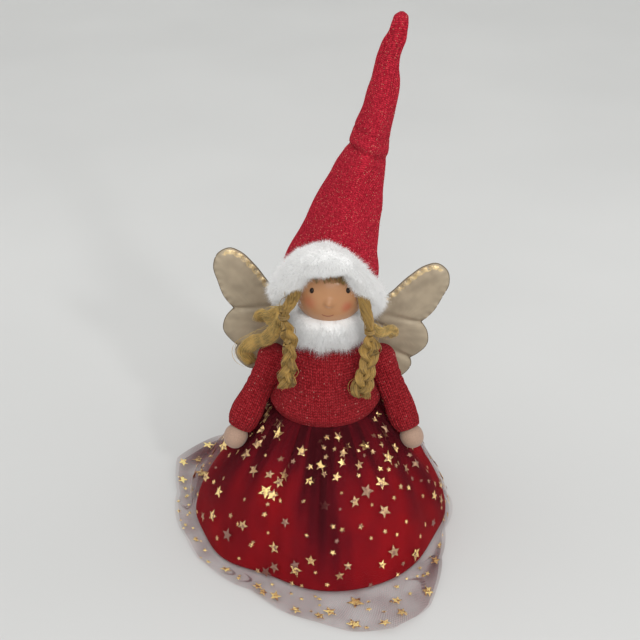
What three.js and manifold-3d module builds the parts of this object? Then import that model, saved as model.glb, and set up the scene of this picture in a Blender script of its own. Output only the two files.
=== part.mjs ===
// Fairy tree topper: a soft doll that stands on the cone inside its skirt, or goes over the tip of a tree.
// Millimetres, +Z up. The origin is the centre of the cone's open foot, and the doll looks along -Y.
import * as THREE from 'three';
import { mergeVertices } from 'three/addons/utils/BufferGeometryUtils.js';
import Module from 'manifold-3d';

const wasm = await Module();
wasm.setup();

// Driving dimensions: whole figure
const clearance = 0.3;
const overrun = 4;
const leanShare = 0.035;

// Driving dimensions: cone, its cap and the stick
const coneHeight = 100;
const coneFootRadius = 88;
const coneTopRadius = 33;
const cardThickness = 1.6;
const footRimWidth = 4;
const footRimHeight = 1.5;
const capThickness = 2.4;
const capOverhang = 1;
const dowelRadius = 3;
const dowelBelowCap = 12;

// Driving dimensions: skirt layers and waist
const velvetThickness = 1.2;
const tulleThickness = 0.7;
const layerGap = 0.5;
const waistEase = 1.6;
const waistPuff = 5.8;
const bandHeight = 6;
const flareBelowBand = 4;
const hemOverhang = 13;
const hemLift = 2.5;
const foldDepth = 3.2;
const foldCount = 8;
const strayFoldCount = 5;
const tulleTouchdown = 3.5;
const tulleSpread = 20;
const underlaySetback = 9;
const floorGap = 1;
const rippleHeight = 1;
const elasticThickness = 1;
const elasticHeight = 4;

// Driving dimensions: body and sweater
const bodyHeight = 78;
const sweaterHemRise = 7;
const sweaterRadius = 43.5;
const knitThickness = 2;
const neckGap = 1.7;

// Driving dimensions: arms
const shoulderSpread = 42.5;
const shoulderRise = 42.3;
const shoulderBack = 2;
const shoulderRadius = 12.5;
const armDrop = 50.6;
const armOutward = 24;
const armForward = 20;
const cuffRadius = 9.5;
const handRadius = 9.2;
const handLength = 20;

// Driving dimensions: head, hair and collar
const headRadius = 28.5;
const noseRadius = 3;
const eyeRadius = 2.1;
const eyeSpread = 13.4;
const eyeRise = 8.5;
const hairThickness = 3;
const lockRadius = 5.6;
const tieRadius = 6;
const tieHeight = 4.4;
const tieForward = 31;
const tieSpreadRight = 34;
const tieSpreadLeft = 30;
const tieRiseRight = 15.3;
const tieRiseLeft = 2.5;
const braidLengthRight = 52;
const braidLengthLeft = 47;
const braidWidth = 15;
const braidTurns = 1.1;
const strandThickness = 4;
const upperStrandWidth = 13;
const lowerStrandWidth = 12;
const leftStrandWidth = 10;
const hairCapSpread = 75;
const hairCapTilt = 30;
const collarRadius = 18.5;
const collarThickness = 25;

// Driving dimensions: hat
const brimWidthRadius = 31.5;
const brimDepthRadius = 35;
const brimBack = 0.6;
const brimShift = 1.7;
const brimSideThickness = 22.4;
const brimFrontThickness = 28;
const crownRadius = 37;
const crownHeight = 107;
const mouthDrop = 4;
const crownEdgeDrop = 4;
const crownLean = 25;
const crownBack = 5;
const feltThickness = 1.8;
const tipHeight = 104;
const tipBallRadius = 14;
const tipLean = 21;

// Driving dimensions: wings
const wingSpan = 94;
const wingRise = 44.3;
const wingTilt = 4.8;
const skinThickness = 0.8;
const paddingThickness = 3;
const wingStandOff = 2;
const paddingSetback = 1.5;
const patchWidth = 15.4;
const patchHeight = 28;
const patchDepth = 12;

// Counts that set how round things are, and how many rings follow a curve
const skirtSegments = 40;
const bodySegments = 24;
const roundSegments = 16;
const limbSegments = 12;
const furSegments = 10;
const hairSegments = 8;
const armSteps = 6;
const handSteps = 9;
const lockSteps = 8;
const braidSteps = 14;
const strandSteps = 8;
const hairCapSteps = 6;
const ballRowShare = 0.7;

// Levels and radii that follow from the sizes above
const capTop = coneHeight + capThickness;
const bodyBase = capTop + clearance;
const sweaterHem = bodyBase + sweaterHemRise;
const neckTop = bodyBase + bodyHeight;
const sweaterTop = neckTop - neckGap;
const headLevel = neckTop + neckGap + headRadius;
const torsoWaistRadius = coneTopRadius + waistEase;
const bandBottom = sweaterHem - layerGap;
const bandTop = bandBottom + bandHeight;
const flareTop = bandBottom - flareBelowBand;
const flareRadius = torsoWaistRadius + waistPuff;
const hemRadius = coneFootRadius + hemOverhang;
const velvetLift = clearance + velvetThickness / 2;
const underlayLift = velvetLift + (velvetThickness + tulleThickness) / 2 + layerGap;
const overlayLift = underlayLift + tulleThickness + layerGap;
const elasticInner = torsoWaistRadius + overlayLift + tulleThickness / 2 + 2 * clearance;
const foldLevel = headLevel + crownHeight;
const hairRadius = headRadius + 3 * clearance + hairThickness;

const centreLine = (level) => leanShare * level;
const wave = (angle, centre, width) => Math.exp(-(((angle - centre) / width) ** 2));
const radians = THREE.MathUtils.degToRad;

// Where the hem and the tulle's edge reach further out or less far, as shares and degrees from +X
const hemDriftShares = [[0.08, -55, 24], [-0.04, -122, 16]];
const spreadShares = [[1.5, -68, 28], [-0.85, -5, 38], [0.8, 143, 22]];

// Linear reading of a table whose rows start with a share of the length
function readTable(table, share) {
  let row = 1;
  while (row < table.length - 1 && table[row][0] < share) row += 1;
  const [low, high] = [table[row - 1], table[row]];
  const part = THREE.MathUtils.clamp((share - low[0]) / (high[0] - low[0]), 0, 1);
  return low.slice(1).map((value, i) => THREE.MathUtils.lerp(value, high[i + 1], part));
}

// Six times the volume inside a closed triangle mesh, negative when it is inside out
function signedVolume(points, faces) {
  let total = 0;
  for (let i = 0; i < faces.length; i += 3) {
    const [a, b, c] = [points[faces[i]], points[faces[i + 1]], points[faces[i + 2]]];
    total += a.dot(b.clone().cross(c));
  }
  return total;
}

// A closed body through rings of equal count. A looped one joins its last ring to its first.
function ringBody(rings, looped = false) {
  const count = rings[0].length;
  const points = rings.flat();
  const faces = [];
  const spans = looped ? rings.length : rings.length - 1;
  for (let i = 0; i < spans; i += 1) {
    const next = (i + 1) % rings.length;
    for (let j = 0; j < count; j += 1) {
      const turn = (j + 1) % count;
      const [a, b] = [i * count + j, i * count + turn];
      const [c, d] = [next * count + turn, next * count + j];
      faces.push(a, b, c, a, c, d);
    }
  }
  if (!looped) {
    for (const [first, forward] of [[0, false], [(rings.length - 1) * count, true]]) {
      const hub = points.length;
      const rim = points.slice(first, first + count);
      points.push(rim.reduce((sum, p) => sum.add(p), new THREE.Vector3()).divideScalar(count));
      for (let j = 0; j < count; j += 1) {
        const [a, b] = [first + j, first + (j + 1) % count];
        faces.push(...(forward ? [hub, a, b] : [hub, b, a]));
      }
    }
  }
  if (signedVolume(points, faces) < 0) faces.reverse();
  const geometry = new THREE.BufferGeometry().setFromPoints(points);
  geometry.setIndex(faces);
  return geometry;
}

// A level ring round a centre
function levelRing(x, y, level, halfWidth, halfDepth, count) {
  return Array.from({ length: count }, (_, i) => {
    const angle = (2 * Math.PI * i) / count;
    return new THREE.Vector3(x + halfWidth * Math.cos(angle), y + halfDepth * Math.sin(angle), level);
  });
}

// A ring turned about a vertical line, from [radius, level] points that go up on its outer side
function turned(profile, count) {
  const points = [...profile, profile[0]].map(([radius, level]) => new THREE.Vector2(radius, level));
  return new THREE.LatheGeometry(points, count).rotateX(Math.PI / 2);
}

// An upright round bar
function bar(radius, low, high, count) {
  const geometry = new THREE.CylinderGeometry(radius, radius, high - low, count);
  return geometry.rotateX(Math.PI / 2).translate(0, 0, (low + high) / 2);
}

// Rings square to a curve. sectionAt(share, angle) gives the offsets across and through at that place.
function curveRings(curve, steps, count, facing, sectionAt) {
  return Array.from({ length: steps + 1 }, (_, i) => {
    const share = i / steps;
    const centre = curve.getPointAt(share);
    const along = curve.getTangentAt(share);
    const through = facing.clone().addScaledVector(along, -facing.dot(along)).normalize();
    const across = new THREE.Vector3().crossVectors(along, through);
    return Array.from({ length: count }, (__, j) => {
      const angle = (2 * Math.PI * j) / count;
      const [wide, thick] = sectionAt(share, angle);
      return centre.clone().addScaledVector(across, wide).addScaledVector(through, thick);
    });
  });
}

// Joining and cutting of closed bodies
function toSolid(geometry) {
  const bare = geometry.clone();
  bare.deleteAttribute('normal');
  bare.deleteAttribute('uv');
  const merged = mergeVertices(bare);
  const vertProperties = Float32Array.from(merged.attributes.position.array);
  const triVerts = Uint32Array.from(merged.index.array);
  return new wasm.Manifold(new wasm.Mesh({ numProp: 3, vertProperties, triVerts }));
}

function fromSolid(solid) {
  const mesh = solid.getMesh();
  const geometry = new THREE.BufferGeometry();
  geometry.setAttribute('position', new THREE.BufferAttribute(Float32Array.from(mesh.vertProperties), 3));
  geometry.setIndex(new THREE.BufferAttribute(Uint32Array.from(mesh.triVerts), 1));
  return geometry;
}

function cut(geometry, cutters) {
  return fromSolid(cutters.reduce((solid, cutter) => solid.subtract(toSolid(cutter)), toSolid(geometry)));
}

function ball(centre, radius, segments) {
  const geometry = new THREE.SphereGeometry(radius, segments, Math.round(segments * ballRowShare));
  return geometry.rotateX(Math.PI / 2).translate(centre.x, centre.y, centre.z);
}

// A ball that holds a round one of the given radius inside its flat faces
function roomFor(centre, radius) {
  return ball(centre, (radius + clearance) / Math.cos(Math.PI / roundSegments) ** 2, roundSegments);
}

// Places that several pieces share. A twisted end sways out, forward and down, as shares of its neck
// and of its length.
const headCentre = new THREE.Vector3(centreLine(headLevel), 0, headLevel);
const foldPoint = new THREE.Vector3(headCentre.x + crownLean, crownBack, foldLevel);
const sides = [
  {
    name: 'right',
    sign: -1,
    tieSpread: tieSpreadRight,
    tieRise: tieRiseRight,
    braidLength: braidLengthRight,
    swayShares: [[-1.5, 1, 0.25], [-1.3, 2, 0.6], [0, 3, 1]],
  },
  {
    name: 'left',
    sign: 1,
    tieSpread: tieSpreadLeft,
    tieRise: tieRiseLeft,
    braidLength: braidLengthLeft,
    swayShares: [[0, 1, 0.25], [-1, 2, 0.6], [-3, 3, 1]],
  },
];
for (const side of sides) {
  const shoulderLevel = bodyBase + shoulderRise;
  const shoulderX = centreLine(shoulderLevel) + side.sign * shoulderSpread;
  side.shoulder = new THREE.Vector3(shoulderX, shoulderBack, shoulderLevel);
  const tieX = headCentre.x + side.sign * side.tieSpread;
  side.tie = new THREE.Vector3(tieX, -tieForward, neckTop + side.tieRise);
}

// Stick through cap, body and head, or the clear hole round it
function dowel(extra) {
  const low = coneHeight - dowelBelowCap - (extra ? overrun : 0);
  const high = headLevel + (extra ? clearance : 0);
  const rings = [low, high].map((level) => levelRing(
    centreLine(level), 0, level, dowelRadius + extra, dowelRadius + extra, furSegments));
  return ringBody(rings);
}

function treeCone() {
  const innerFoot = coneFootRadius - cardThickness;
  const profile = [
    [coneFootRadius - footRimWidth, 0],
    [coneFootRadius, 0],
    [coneFootRadius, footRimHeight],
    [coneTopRadius, coneHeight],
    [coneTopRadius - cardThickness, coneHeight],
    [innerFoot - cardThickness, footRimHeight],
    [coneFootRadius - footRimWidth, footRimHeight],
  ];
  return turned(profile, bodySegments);
}

function coneCap() {
  return cut(bar(coneTopRadius + capOverhang, coneHeight, capTop, bodySegments), [dowel(clearance)]);
}

// Skirt layers share one surface, raised square to it by lift. angle is in degrees from +X.
function skirtEdge(angle) {
  const turn = THREE.MathUtils.euclideanModulo(angle + 180, 360) - 180;
  return hemDriftShares.reduce((sum, [share, centre, width]) => sum + share * wave(turn, centre, width), 0);
}

function skirtPoint(angle, share, lift) {
  const bulge = 1.5;
  const drop = flareTop - hemLift;
  const flare = hemRadius - flareRadius;
  const slope = flare * bulge * Math.sqrt(1 - share);
  const steep = Math.hypot(drop, slope);
  const swing = Math.cos(foldCount * radians(angle)) + Math.cos(strayFoldCount * radians(angle) + 1) / 2;
  const drift = hemRadius * skirtEdge(angle) * share ** 2;
  const radius = flareRadius + flare * (1 - (1 - share) ** bulge) + drift + foldDepth * share * swing;
  return [radius + (lift * drop) / steep, flareTop - drop * share + (lift * slope) / steep];
}

// Rings of one skirt layer on one side of the cloth, from the waist down
function skirtRings(shares, lift, floorRows = []) {
  const level = [bandTop, bandBottom];
  const rings = level.map((z) => {
    const radius = torsoWaistRadius + lift;
    return levelRing(centreLine(z), 0, z, radius, radius, skirtSegments);
  });
  const rows = shares.map((share) => (angle) => skirtPoint(angle, share, lift));
  for (const row of [...rows, ...floorRows]) {
    rings.push(Array.from({ length: skirtSegments }, (_, i) => {
      const angle = (360 * i) / skirtSegments;
      const [radius, z] = row(angle);
      const [x, y] = [radius * Math.cos(radians(angle)), radius * Math.sin(radians(angle))];
      return new THREE.Vector3(centreLine(z) + x, y, z);
    }));
  }
  return rings;
}

const tulleRowShares = [0, 0.18, 0.42, 0.68, 0.88];
const velvetRowShares = [...tulleRowShares, 1];

function velvetSkirt() {
  const outer = skirtRings(velvetRowShares, velvetLift + velvetThickness / 2);
  const inner = skirtRings(velvetRowShares, velvetLift - velvetThickness / 2);
  return ringBody([...outer, ...inner.reverse()], true);
}

const underlayLeastShare = 0.4;

// Tulle follows the velvet, then lies on the floor beyond its hem and ripples at the rim
function tulleLayer(lift, rest, setback) {
  const side = (offset) => {
    const reach = (angle, out) => {
      const turn = THREE.MathUtils.euclideanModulo(angle + 180, 360) - 180;
      const spread = spreadShares.reduce((sum, [gain, at, width]) => sum + gain * wave(turn, at, width), 1);
      const hem = skirtPoint(angle, 1, lift)[0] + tulleTouchdown;
      const width = Math.max(tulleSpread * spread, tulleTouchdown);
      const kept = out * Math.max(1 - setback / width, underlayLeastShare);
      const ripple = rippleHeight * kept * (1 + Math.cos(foldCount * 2 * radians(angle)));
      return [hem + width * kept, rest + offset + tulleThickness / 2 + ripple];
    };
    const floorRows = [0, 0.5, 1].map((out) => (angle) => reach(angle, out));
    return skirtRings(tulleRowShares, lift + offset, floorRows);
  };
  return ringBody([...side(tulleThickness / 2), ...side(-tulleThickness / 2).reverse()], true);
}

function waistElastic() {
  const low = bandBottom + (bandHeight - elasticHeight) / 2;
  const outer = elasticInner + elasticThickness;
  const profile = [
    [elasticInner, low],
    [outer, low],
    [outer, low + elasticHeight],
    [elasticInner, low + elasticHeight],
  ];
  return turned(profile, skirtSegments).translate(centreLine(low + elasticHeight / 2), 0, 0);
}

// Sweater: shares of its height, then half width and half depth as shares of its radius
const sweaterShares = [
  [0, 0.975, 0.975], [0.05, 1, 1], [0.13, 1, 1], [0.25, 0.875, 0.965], [0.38, 0.765, 0.92],
  [0.5, 0.76, 0.86], [0.62, 0.74, 0.78], [0.73, 0.66, 0.69], [0.82, 0.56, 0.575], [0.91, 0.45, 0.46],
  [1, 0.36, 0.37],
];

function sweaterRing(level, inset) {
  const share = (level - sweaterHem) / (sweaterTop - sweaterHem);
  const [wide, deep] = readTable(sweaterShares, share).map((value) => value * sweaterRadius - inset);
  return levelRing(centreLine(level), 0, level, wide, deep, bodySegments);
}

function sweaterLevels() {
  return sweaterShares.map(([share]) => THREE.MathUtils.lerp(sweaterHem, sweaterTop, share));
}

// The sweater as one filled form, grown by a gap, for cutting what lies against it
function sweaterForm(grow) {
  const rings = sweaterLevels().map((level) => sweaterRing(level, -grow));
  return ringBody(rings);
}

function armholes() {
  return sides.map((side) => roomFor(side.shoulder, shoulderRadius));
}

function sweaterBody() {
  const outer = sweaterLevels().map((level) => sweaterRing(level, 0));
  const inner = sweaterLevels().map((level) => sweaterRing(level, knitThickness));
  return cut(ringBody([...outer, ...inner.reverse()], true), armholes());
}

function torsoStuffing() {
  const footShares = [[0, 0.88], [0.35, 0.97]];
  const ring = (level, radius) => levelRing(centreLine(level), 0, level, radius, radius, bodySegments);
  const foot = footShares.map(([rise, share]) => {
    return ring(bodyBase + rise * sweaterHemRise, torsoWaistRadius * share);
  });
  const waist = [bandBottom, bandTop + clearance].map((level) => ring(level, torsoWaistRadius));
  const inset = knitThickness + clearance;
  const above = sweaterLevels().filter((level) => level > bandTop + elasticThickness + clearance);
  const chest = above.map((level) => sweaterRing(level, inset));
  const neck = ring(neckTop, sweaterRadius * sweaterShares.at(-1)[1] - inset);
  const cutters = [dowel(clearance), ...armholes()];
  return cut(ringBody([...foot, ...waist, ...chest, neck]), cutters);
}

// Arms hang from the shoulder ball, outward and a little forward. Made round the shoulder as origin.
// Their width runs from the cuff's radius at 0 to the shoulder's at 1, along the arm's length.
const sleeveShares = [[0, 1], [0.25, 0.3], [0.55, 0.35], [0.82, 0.7], [1, 0]];
const domeShares = [0.97, 0.75, 0.4];
const coreShare = 0.97;

function armCurve(side, stopShare) {
  const end = new THREE.Vector3(side.sign * armOutward - leanShare * armDrop, -armForward, -armDrop);
  return new THREE.LineCurve3(new THREE.Vector3(), end.multiplyScalar(stopShare));
}

// Rings of an arm from the back of its shoulder ball towards the wrist, drawn in by inset
function armRings(side, inset, stopShare) {
  const curve = armCurve(side, stopShare);
  const along = curve.getTangentAt(0);
  const tube = curveRings(curve, armSteps, limbSegments, new THREE.Vector3(0, 1, 0), (share, angle) => {
    const [width] = readTable(sleeveShares, share * stopShare);
    const radius = THREE.MathUtils.lerp(cuffRadius, shoulderRadius, width) - inset;
    return [radius * Math.cos(angle), radius * Math.sin(angle)];
  });
  const dome = domeShares.map((back) => tube[0].map((p) => {
    const narrow = Math.sqrt(1 - back ** 2);
    return p.clone().multiplyScalar(narrow).addScaledVector(along, -back * (shoulderRadius - inset));
  }));
  return [...dome, ...tube];
}

function sleeve(side) {
  return ringBody([...armRings(side, 0, 1), ...armRings(side, knitThickness, 1).reverse()]);
}

function armCore(side) {
  return ringBody(armRings(side, knitThickness + clearance, coreShare));
}

// Round bare hand, its narrow end held in the cuff
function hand(side) {
  const along = armCurve(side, 1).getTangentAt(0);
  const start = armCurve(side, coreShare).getPointAt(1).addScaledVector(along, clearance);
  const neckShare = (cuffRadius - knitThickness - clearance) / handRadius;
  const palmShares = [[0.32, 0.97], [0.55, 1], [0.8, 0.8], [0.94, 0.5], [1, 0.2]];
  const handShares = [[0, neckShare], [0.14, neckShare], ...palmShares];
  const curve = new THREE.LineCurve3(start, start.clone().addScaledVector(along, handLength));
  return ringBody(curveRings(curve, handSteps, limbSegments, new THREE.Vector3(0, 1, 0), (share, angle) => {
    const radius = handRadius * readTable(handShares, share)[0];
    return [radius * Math.cos(angle), radius * Math.sin(angle)];
  }));
}

// Head with a small nose and two sockets for the eyes
function eyeCentre(sign) {
  const x = sign * eyeSpread;
  const y = -Math.sqrt(headRadius ** 2 - x ** 2 - eyeRise ** 2);
  return headCentre.clone().add(new THREE.Vector3(x, y, eyeRise));
}

function headBall() {
  const noseCentre = headCentre.clone().add(new THREE.Vector3(0, -headRadius, 0));
  const head = toSolid(ball(headCentre, headRadius, bodySegments));
  const nose = toSolid(ball(noseCentre, noseRadius, limbSegments));
  const sockets = sides.map((side) => ball(eyeCentre(side.sign), eyeRadius + clearance, furSegments));
  return cut(fromSolid(head.add(nose)), [...sockets, dowel(clearance)]);
}

// Hank of hair glued over the back and top of the head
function hairCap() {
  const arc = (radius) => Array.from({ length: hairCapSteps }, (_, i) => {
    const angle = (radians(hairCapSpread) * (i + 1)) / hairCapSteps;
    const out = radius * Math.sin(angle);
    return levelRing(0, 0, radius * Math.cos(angle), out, out, bodySegments);
  });
  const shell = ringBody([...arc(headRadius + 3 * clearance), ...arc(hairRadius).reverse()]);
  return shell.rotateX(-radians(hairCapTilt)).translate(headCentre.x, headCentre.y, headCentre.z);
}

// Hair from under the brim down to its tie
function lockCurve(side) {
  const startShares = [0.85, 0.66, 0.24];
  const bowShare = 0.05;
  const [out, forward, up] = startShares.map((share) => share * headRadius);
  const start = headCentre.clone().add(new THREE.Vector3(side.sign * out, -forward, up));
  const foot = side.tie.clone().add(new THREE.Vector3(0, 0, braidNeck + clearance));
  const neck = foot.clone().add(new THREE.Vector3(0, 0, tieHeight));
  const middle = start.clone().lerp(neck, 0.5).add(new THREE.Vector3(0, -bowShare * headRadius, 0));
  return new THREE.CatmullRomCurve3([start, middle, neck, foot]);
}

const braidNeckShare = 0.45;
const braidNeck = lockRadius * braidNeckShare;

function sideLock(side, grow) {
  const lockWidthShares = [[0, 0.75], [0.3, 1], [0.6, 0.95], [0.85, braidNeckShare], [1, braidNeckShare]];
  const facing = new THREE.Vector3(0, 1, 0);
  const lock = ringBody(curveRings(lockCurve(side), lockSteps, hairSegments, facing, (share, angle) => {
    const radius = lockRadius * readTable(lockWidthShares, share)[0] + grow;
    return [radius * Math.cos(angle), radius * Math.sin(angle)];
  }));
  return grow ? lock : cut(lock, [roomFor(headCentre, headRadius)]);
}

// The tie as a plain bar, grown by a gap, for cutting what lies against it
function tieForm(side, grow) {
  const low = side.tie.z + braidNeck + clearance - grow;
  const form = bar(tieRadius + grow, low, low + tieHeight + 2 * grow, roundSegments);
  return form.translate(side.tie.x, side.tie.y, 0);
}

function hairTie(side) {
  const low = side.tie.z + braidNeck + clearance;
  const inner = braidNeck + clearance;
  const middle = (inner + tieRadius) / 2;
  const tieShares = [
    [middle, 0], [tieRadius, 0.3], [tieRadius, 0.7], [middle, 1], [inner, 0.75], [inner, 0.25],
  ];
  const ring = turned(tieShares.map(([radius, rise]) => [radius, low + rise * tieHeight]), furSegments);
  return cut(ring.translate(side.tie.x, side.tie.y, 0), [sideLock(side, clearance)]);
}

// Loosely twisted ends, made round the tie as origin
function braid(side) {
  const strands = 3;
  const lobeDepthShare = 0.28;
  const thickShare = 0.75;
  const braidShares = [[0, 0.12], [0.07, 0.34], [0.2, 0.75], [0.55, 0.8], [0.8, 0.95], [1, 1.05]];
  const sway = side.swayShares.map(([out, forward, down]) => new THREE.Vector3(
    out * side.sign * braidNeck, -forward * braidNeck, -down * side.braidLength));
  const curve = new THREE.CatmullRomCurve3([new THREE.Vector3(0, 0, braidNeck), ...sway]);
  const facing = new THREE.Vector3(0, 1, 0);
  return ringBody(curveRings(curve, braidSteps, limbSegments, facing, (share, angle) => {
    const turn = angle - 2 * Math.PI * braidTurns * share;
    const lobe = 1 + Math.min(share * strands, 1) * lobeDepthShare * Math.cos(strands * turn);
    const radius = (braidWidth / 2) * readTable(braidShares, share)[0] * lobe;
    return [radius * Math.cos(angle), radius * thickShare * Math.sin(angle)];
  }));
}

// Gauzy strips of hair that are swept back over the shoulder. The rows are places from the tie, outward,
// back and up, as shares of the head's radius.
const upperStrandShares = [
  [-0.03, 0.12, 0.44], [0.14, 0.36, 0.22], [0.38, 0.65, -0.1], [0.62, 1, -0.28], [0.66, 1.25, -0.55],
];
const lowerStrandShares = [
  [0.1, 0.14, 0.2], [0.2, 0.36, -0.25], [0.5, 0.8, -0.8], [0.9, 1.25, -1.2], [1.15, 1.5, -1.65],
  [0.95, 1.6, -2.05],
];
const leftStrandShares = [
  [0.1, 0.18, 0.25], [0.28, 0.38, 0], [0.42, 0.72, -0.1], [0.62, 1.12, -0.25], [0.76, 1.5, -0.6],
];

function sweptStrand(side, width, placeShares) {
  const { sign, tie } = side;
  const route = placeShares.map(([out, back, up]) => new THREE.Vector3(sign * out, back, up)
    .multiplyScalar(headRadius).add(tie));
  const facing = new THREE.Vector3(0, -1, 0.2);
  const widthShares = [[0, 0.35], [0.2, 0.8], [0.5, 1], [0.85, 0.95], [1, 0.7]];
  const curve = new THREE.CatmullRomCurve3(route);
  const strand = ringBody(curveRings(curve, strandSteps, hairSegments, facing, (share, angle) => {
    const [across] = readTable(widthShares, share);
    return [(width / 2) * across * Math.cos(angle), (strandThickness / 2) * Math.sin(angle)];
  }));
  return cut(strand, [sideLock(side, clearance), tieForm(side, clearance)]);
}

function collarRing(grow) {
  const level = neckTop + neckGap;
  const radius = collarThickness / 2 + grow;
  const rings = Array.from({ length: furSegments }, (_, i) => {
    const angle = (2 * Math.PI * i) / furSegments;
    const out = collarRadius + radius * Math.cos(angle);
    const z = level + radius * Math.sin(angle);
    return levelRing(centreLine(level), 0, z, out, out, bodySegments);
  });
  return ringBody(rings, true);
}

function furCollar() {
  const neckRadius = sweaterRadius * sweaterShares.at(-1)[1] + clearance;
  const neckHole = bar(neckRadius, neckTop - overrun, headLevel, bodySegments);
  neckHole.translate(centreLine(neckTop), 0, 0);
  return cut(collarRing(0), [roomFor(headCentre, headRadius), sweaterForm(clearance), neckHole]);
}

// Hat: centre and radius of the crown at a level
const crownShares = [
  [-0.2, 1.02, 0, 0], [0, 1, 0, 0.3], [0.21, 0.945, 0.04, 0.4], [0.41, 0.77, 0.26, 0.6],
  [0.63, 0.65, 0.52, 0.8], [0.85, 0.527, 0.78, 0.95],
];
const crownMouth = foldLevel - mouthDrop;
const crownRowShares = [0, 0.2, 0.4, 0.6, 0.8, 1];

function crownPoint(angle, level, inset) {
  const mouthRadius = Math.sqrt((tipBallRadius + 2 * clearance) ** 2 - mouthDrop ** 2) + feltThickness;
  const mouthShare = (crownMouth - headLevel) / crownHeight;
  const table = [...crownShares, [mouthShare, mouthRadius / crownRadius, 1, 1]];
  const [width, lean, back] = readTable(table, (level - headLevel) / crownHeight);
  const radius = crownRadius * width - inset;
  const x = headCentre.x + lean * crownLean + radius * Math.cos(angle);
  return new THREE.Vector3(x, back * crownBack + radius * Math.sin(angle), level);
}

// The brim's middle line is high in front, low behind and lowest over the ears
const brimShares = { rise: 0.13, front: 0.9, ears: 0.39, slant: 0.12 };

function brimLevel(angle) {
  const { rise, front, ears, slant } = brimShares;
  const wavy = front * Math.sin(angle) + ears * Math.cos(2 * angle) + slant * Math.cos(angle);
  return headLevel + headRadius * (rise - wavy);
}

function crownRings(inset, rowShares) {
  return rowShares.map((share) => Array.from({ length: bodySegments }, (_, i) => {
    const angle = (2 * Math.PI * i) / bodySegments;
    const level = THREE.MathUtils.lerp(brimLevel(angle) - crownEdgeDrop, crownMouth, share);
    return crownPoint(angle, level, inset);
  }));
}

function hatCrown() {
  const inner = crownRings(feltThickness, crownRowShares).reverse();
  return ringBody([...crownRings(0, crownRowShares), ...inner], true);
}

function crownStuffing() {
  const form = ringBody(crownRings(feltThickness + 2 * clearance, crownRowShares));
  const tipSeat = ball(foldPoint, tipBallRadius + 2 * clearance, roundSegments);
  return cut(form, [roomFor(headCentre, hairRadius), tipSeat]);
}

function furBrim() {
  const frontEase = 1.5;
  const edgeShare = -0.02;
  const rings = Array.from({ length: bodySegments }, (_, i) => {
    const angle = (2 * Math.PI * i) / bodySegments;
    const outward = new THREE.Vector3(Math.cos(angle), Math.sin(angle), 0);
    const front = Math.max(0, -Math.sin(angle));
    const radius = THREE.MathUtils.lerp(brimSideThickness, brimFrontThickness, front ** frontEase) / 2;
    const x = headCentre.x - brimShift + brimWidthRadius * Math.cos(angle);
    const centre = new THREE.Vector3(x, brimBack + brimDepthRadius * Math.sin(angle), brimLevel(angle));
    return Array.from({ length: furSegments }, (__, j) => {
      const turn = (2 * Math.PI * j) / furSegments;
      return centre.clone()
        .addScaledVector(outward, radius * Math.cos(turn))
        .add(new THREE.Vector3(0, 0, radius * Math.sin(turn)));
    });
  });
  const cutters = [
    ringBody(crownRings(-clearance, [edgeShare, ...crownRowShares])),
    roomFor(headCentre, hairRadius),
    collarRing(clearance),
    ...sides.map((side) => sideLock(side, clearance)),
  ];
  return cut(ringBody(rings, true), cutters);
}

// Hat tip from the fold up, made round the fold as origin. Its lower end is a ball in the crown's filling.
const tipShares = [
  [0, 1, 0], [0.05, 0.92, 0.03], [0.23, 0.875, 0.27], [0.4, 0.77, 0.48], [0.54, 0.67, 0.64],
  [0.73, 0.6, 0.74], [0.84, 0.535, 0.88], [0.94, 0.49, 1], [0.985, 0.32, 1],
];

// Rings from the lower end of the ball up to the point, drawn in by inset
function tipRings(inset, lowestShare) {
  const dome = [lowestShare, ...domeShares.slice(1)].map((down) => {
    const depth = tipBallRadius - inset;
    const radius = depth * Math.sqrt(1 - down ** 2);
    return levelRing(0, 0, -depth * down, radius, radius, limbSegments);
  });
  const tube = tipShares.map(([rise, width, lean]) => {
    const radius = tipBallRadius * width - inset;
    return levelRing(lean * tipLean, 0, rise * tipHeight - inset * rise, radius, radius, limbSegments);
  });
  return [...dome, ...tube];
}

function hatTip() {
  const openShare = 0.88;
  return ringBody([...tipRings(0, openShare).reverse(), ...tipRings(feltThickness, openShare)]);
}

function tipStuffing() {
  return ringBody(tipRings(feltThickness + clearance, domeShares[0]));
}

// Wings: one outline, as shares of the span, mirrored. Each lobe is a smooth curve with sharp notches.
const lobeShares = [
  [[0.27, 0.26], [0.47, 0.36], [0.66, 0.575], [0.777, 0.68], [0.872, 0.713], [0.968, 0.654], [1, 0.53],
    [0.957, 0.394], [0.894, 0.245], [0.809, 0.144]],
  [[0.872, 0.048], [0.886, -0.074], [0.814, -0.176], [0.755, -0.223]],
  [[0.771, -0.287], [0.729, -0.383], [0.638, -0.447], [0.51, -0.415], [0.36, -0.287], [0.22, -0.18]],
];
const wingRootShares = [0.19, -0.15];
const paddingShare = 0.965;

function wingShape(side, rootX, fill) {
  const place = ([out, up]) => new THREE.Vector2(side.sign * out * fill * wingSpan, up * fill * wingSpan);
  const [top, bottom] = wingRootShares.map((up) => {
    return new THREE.Vector2(side.sign * rootX, up * fill * wingSpan);
  });
  const shape = new THREE.Shape();
  shape.moveTo(top.x, top.y);
  shape.splineThru(lobeShares[0].map(place));
  shape.splineThru(lobeShares[1].map(place));
  shape.splineThru([...lobeShares[2].map(place), bottom]);
  return shape;
}

// One layer of a wing, as thick as given, with its front face at y = front from the hinge line
function wingLayer(side, rootX, fill, front, thickness) {
  const options = { depth: thickness, bevelEnabled: false, curveSegments: 2 };
  const geometry = new THREE.ExtrudeGeometry(wingShape(side, rootX, fill), options);
  return geometry.rotateX(Math.PI / 2).translate(0, front + thickness, 0);
}

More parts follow.
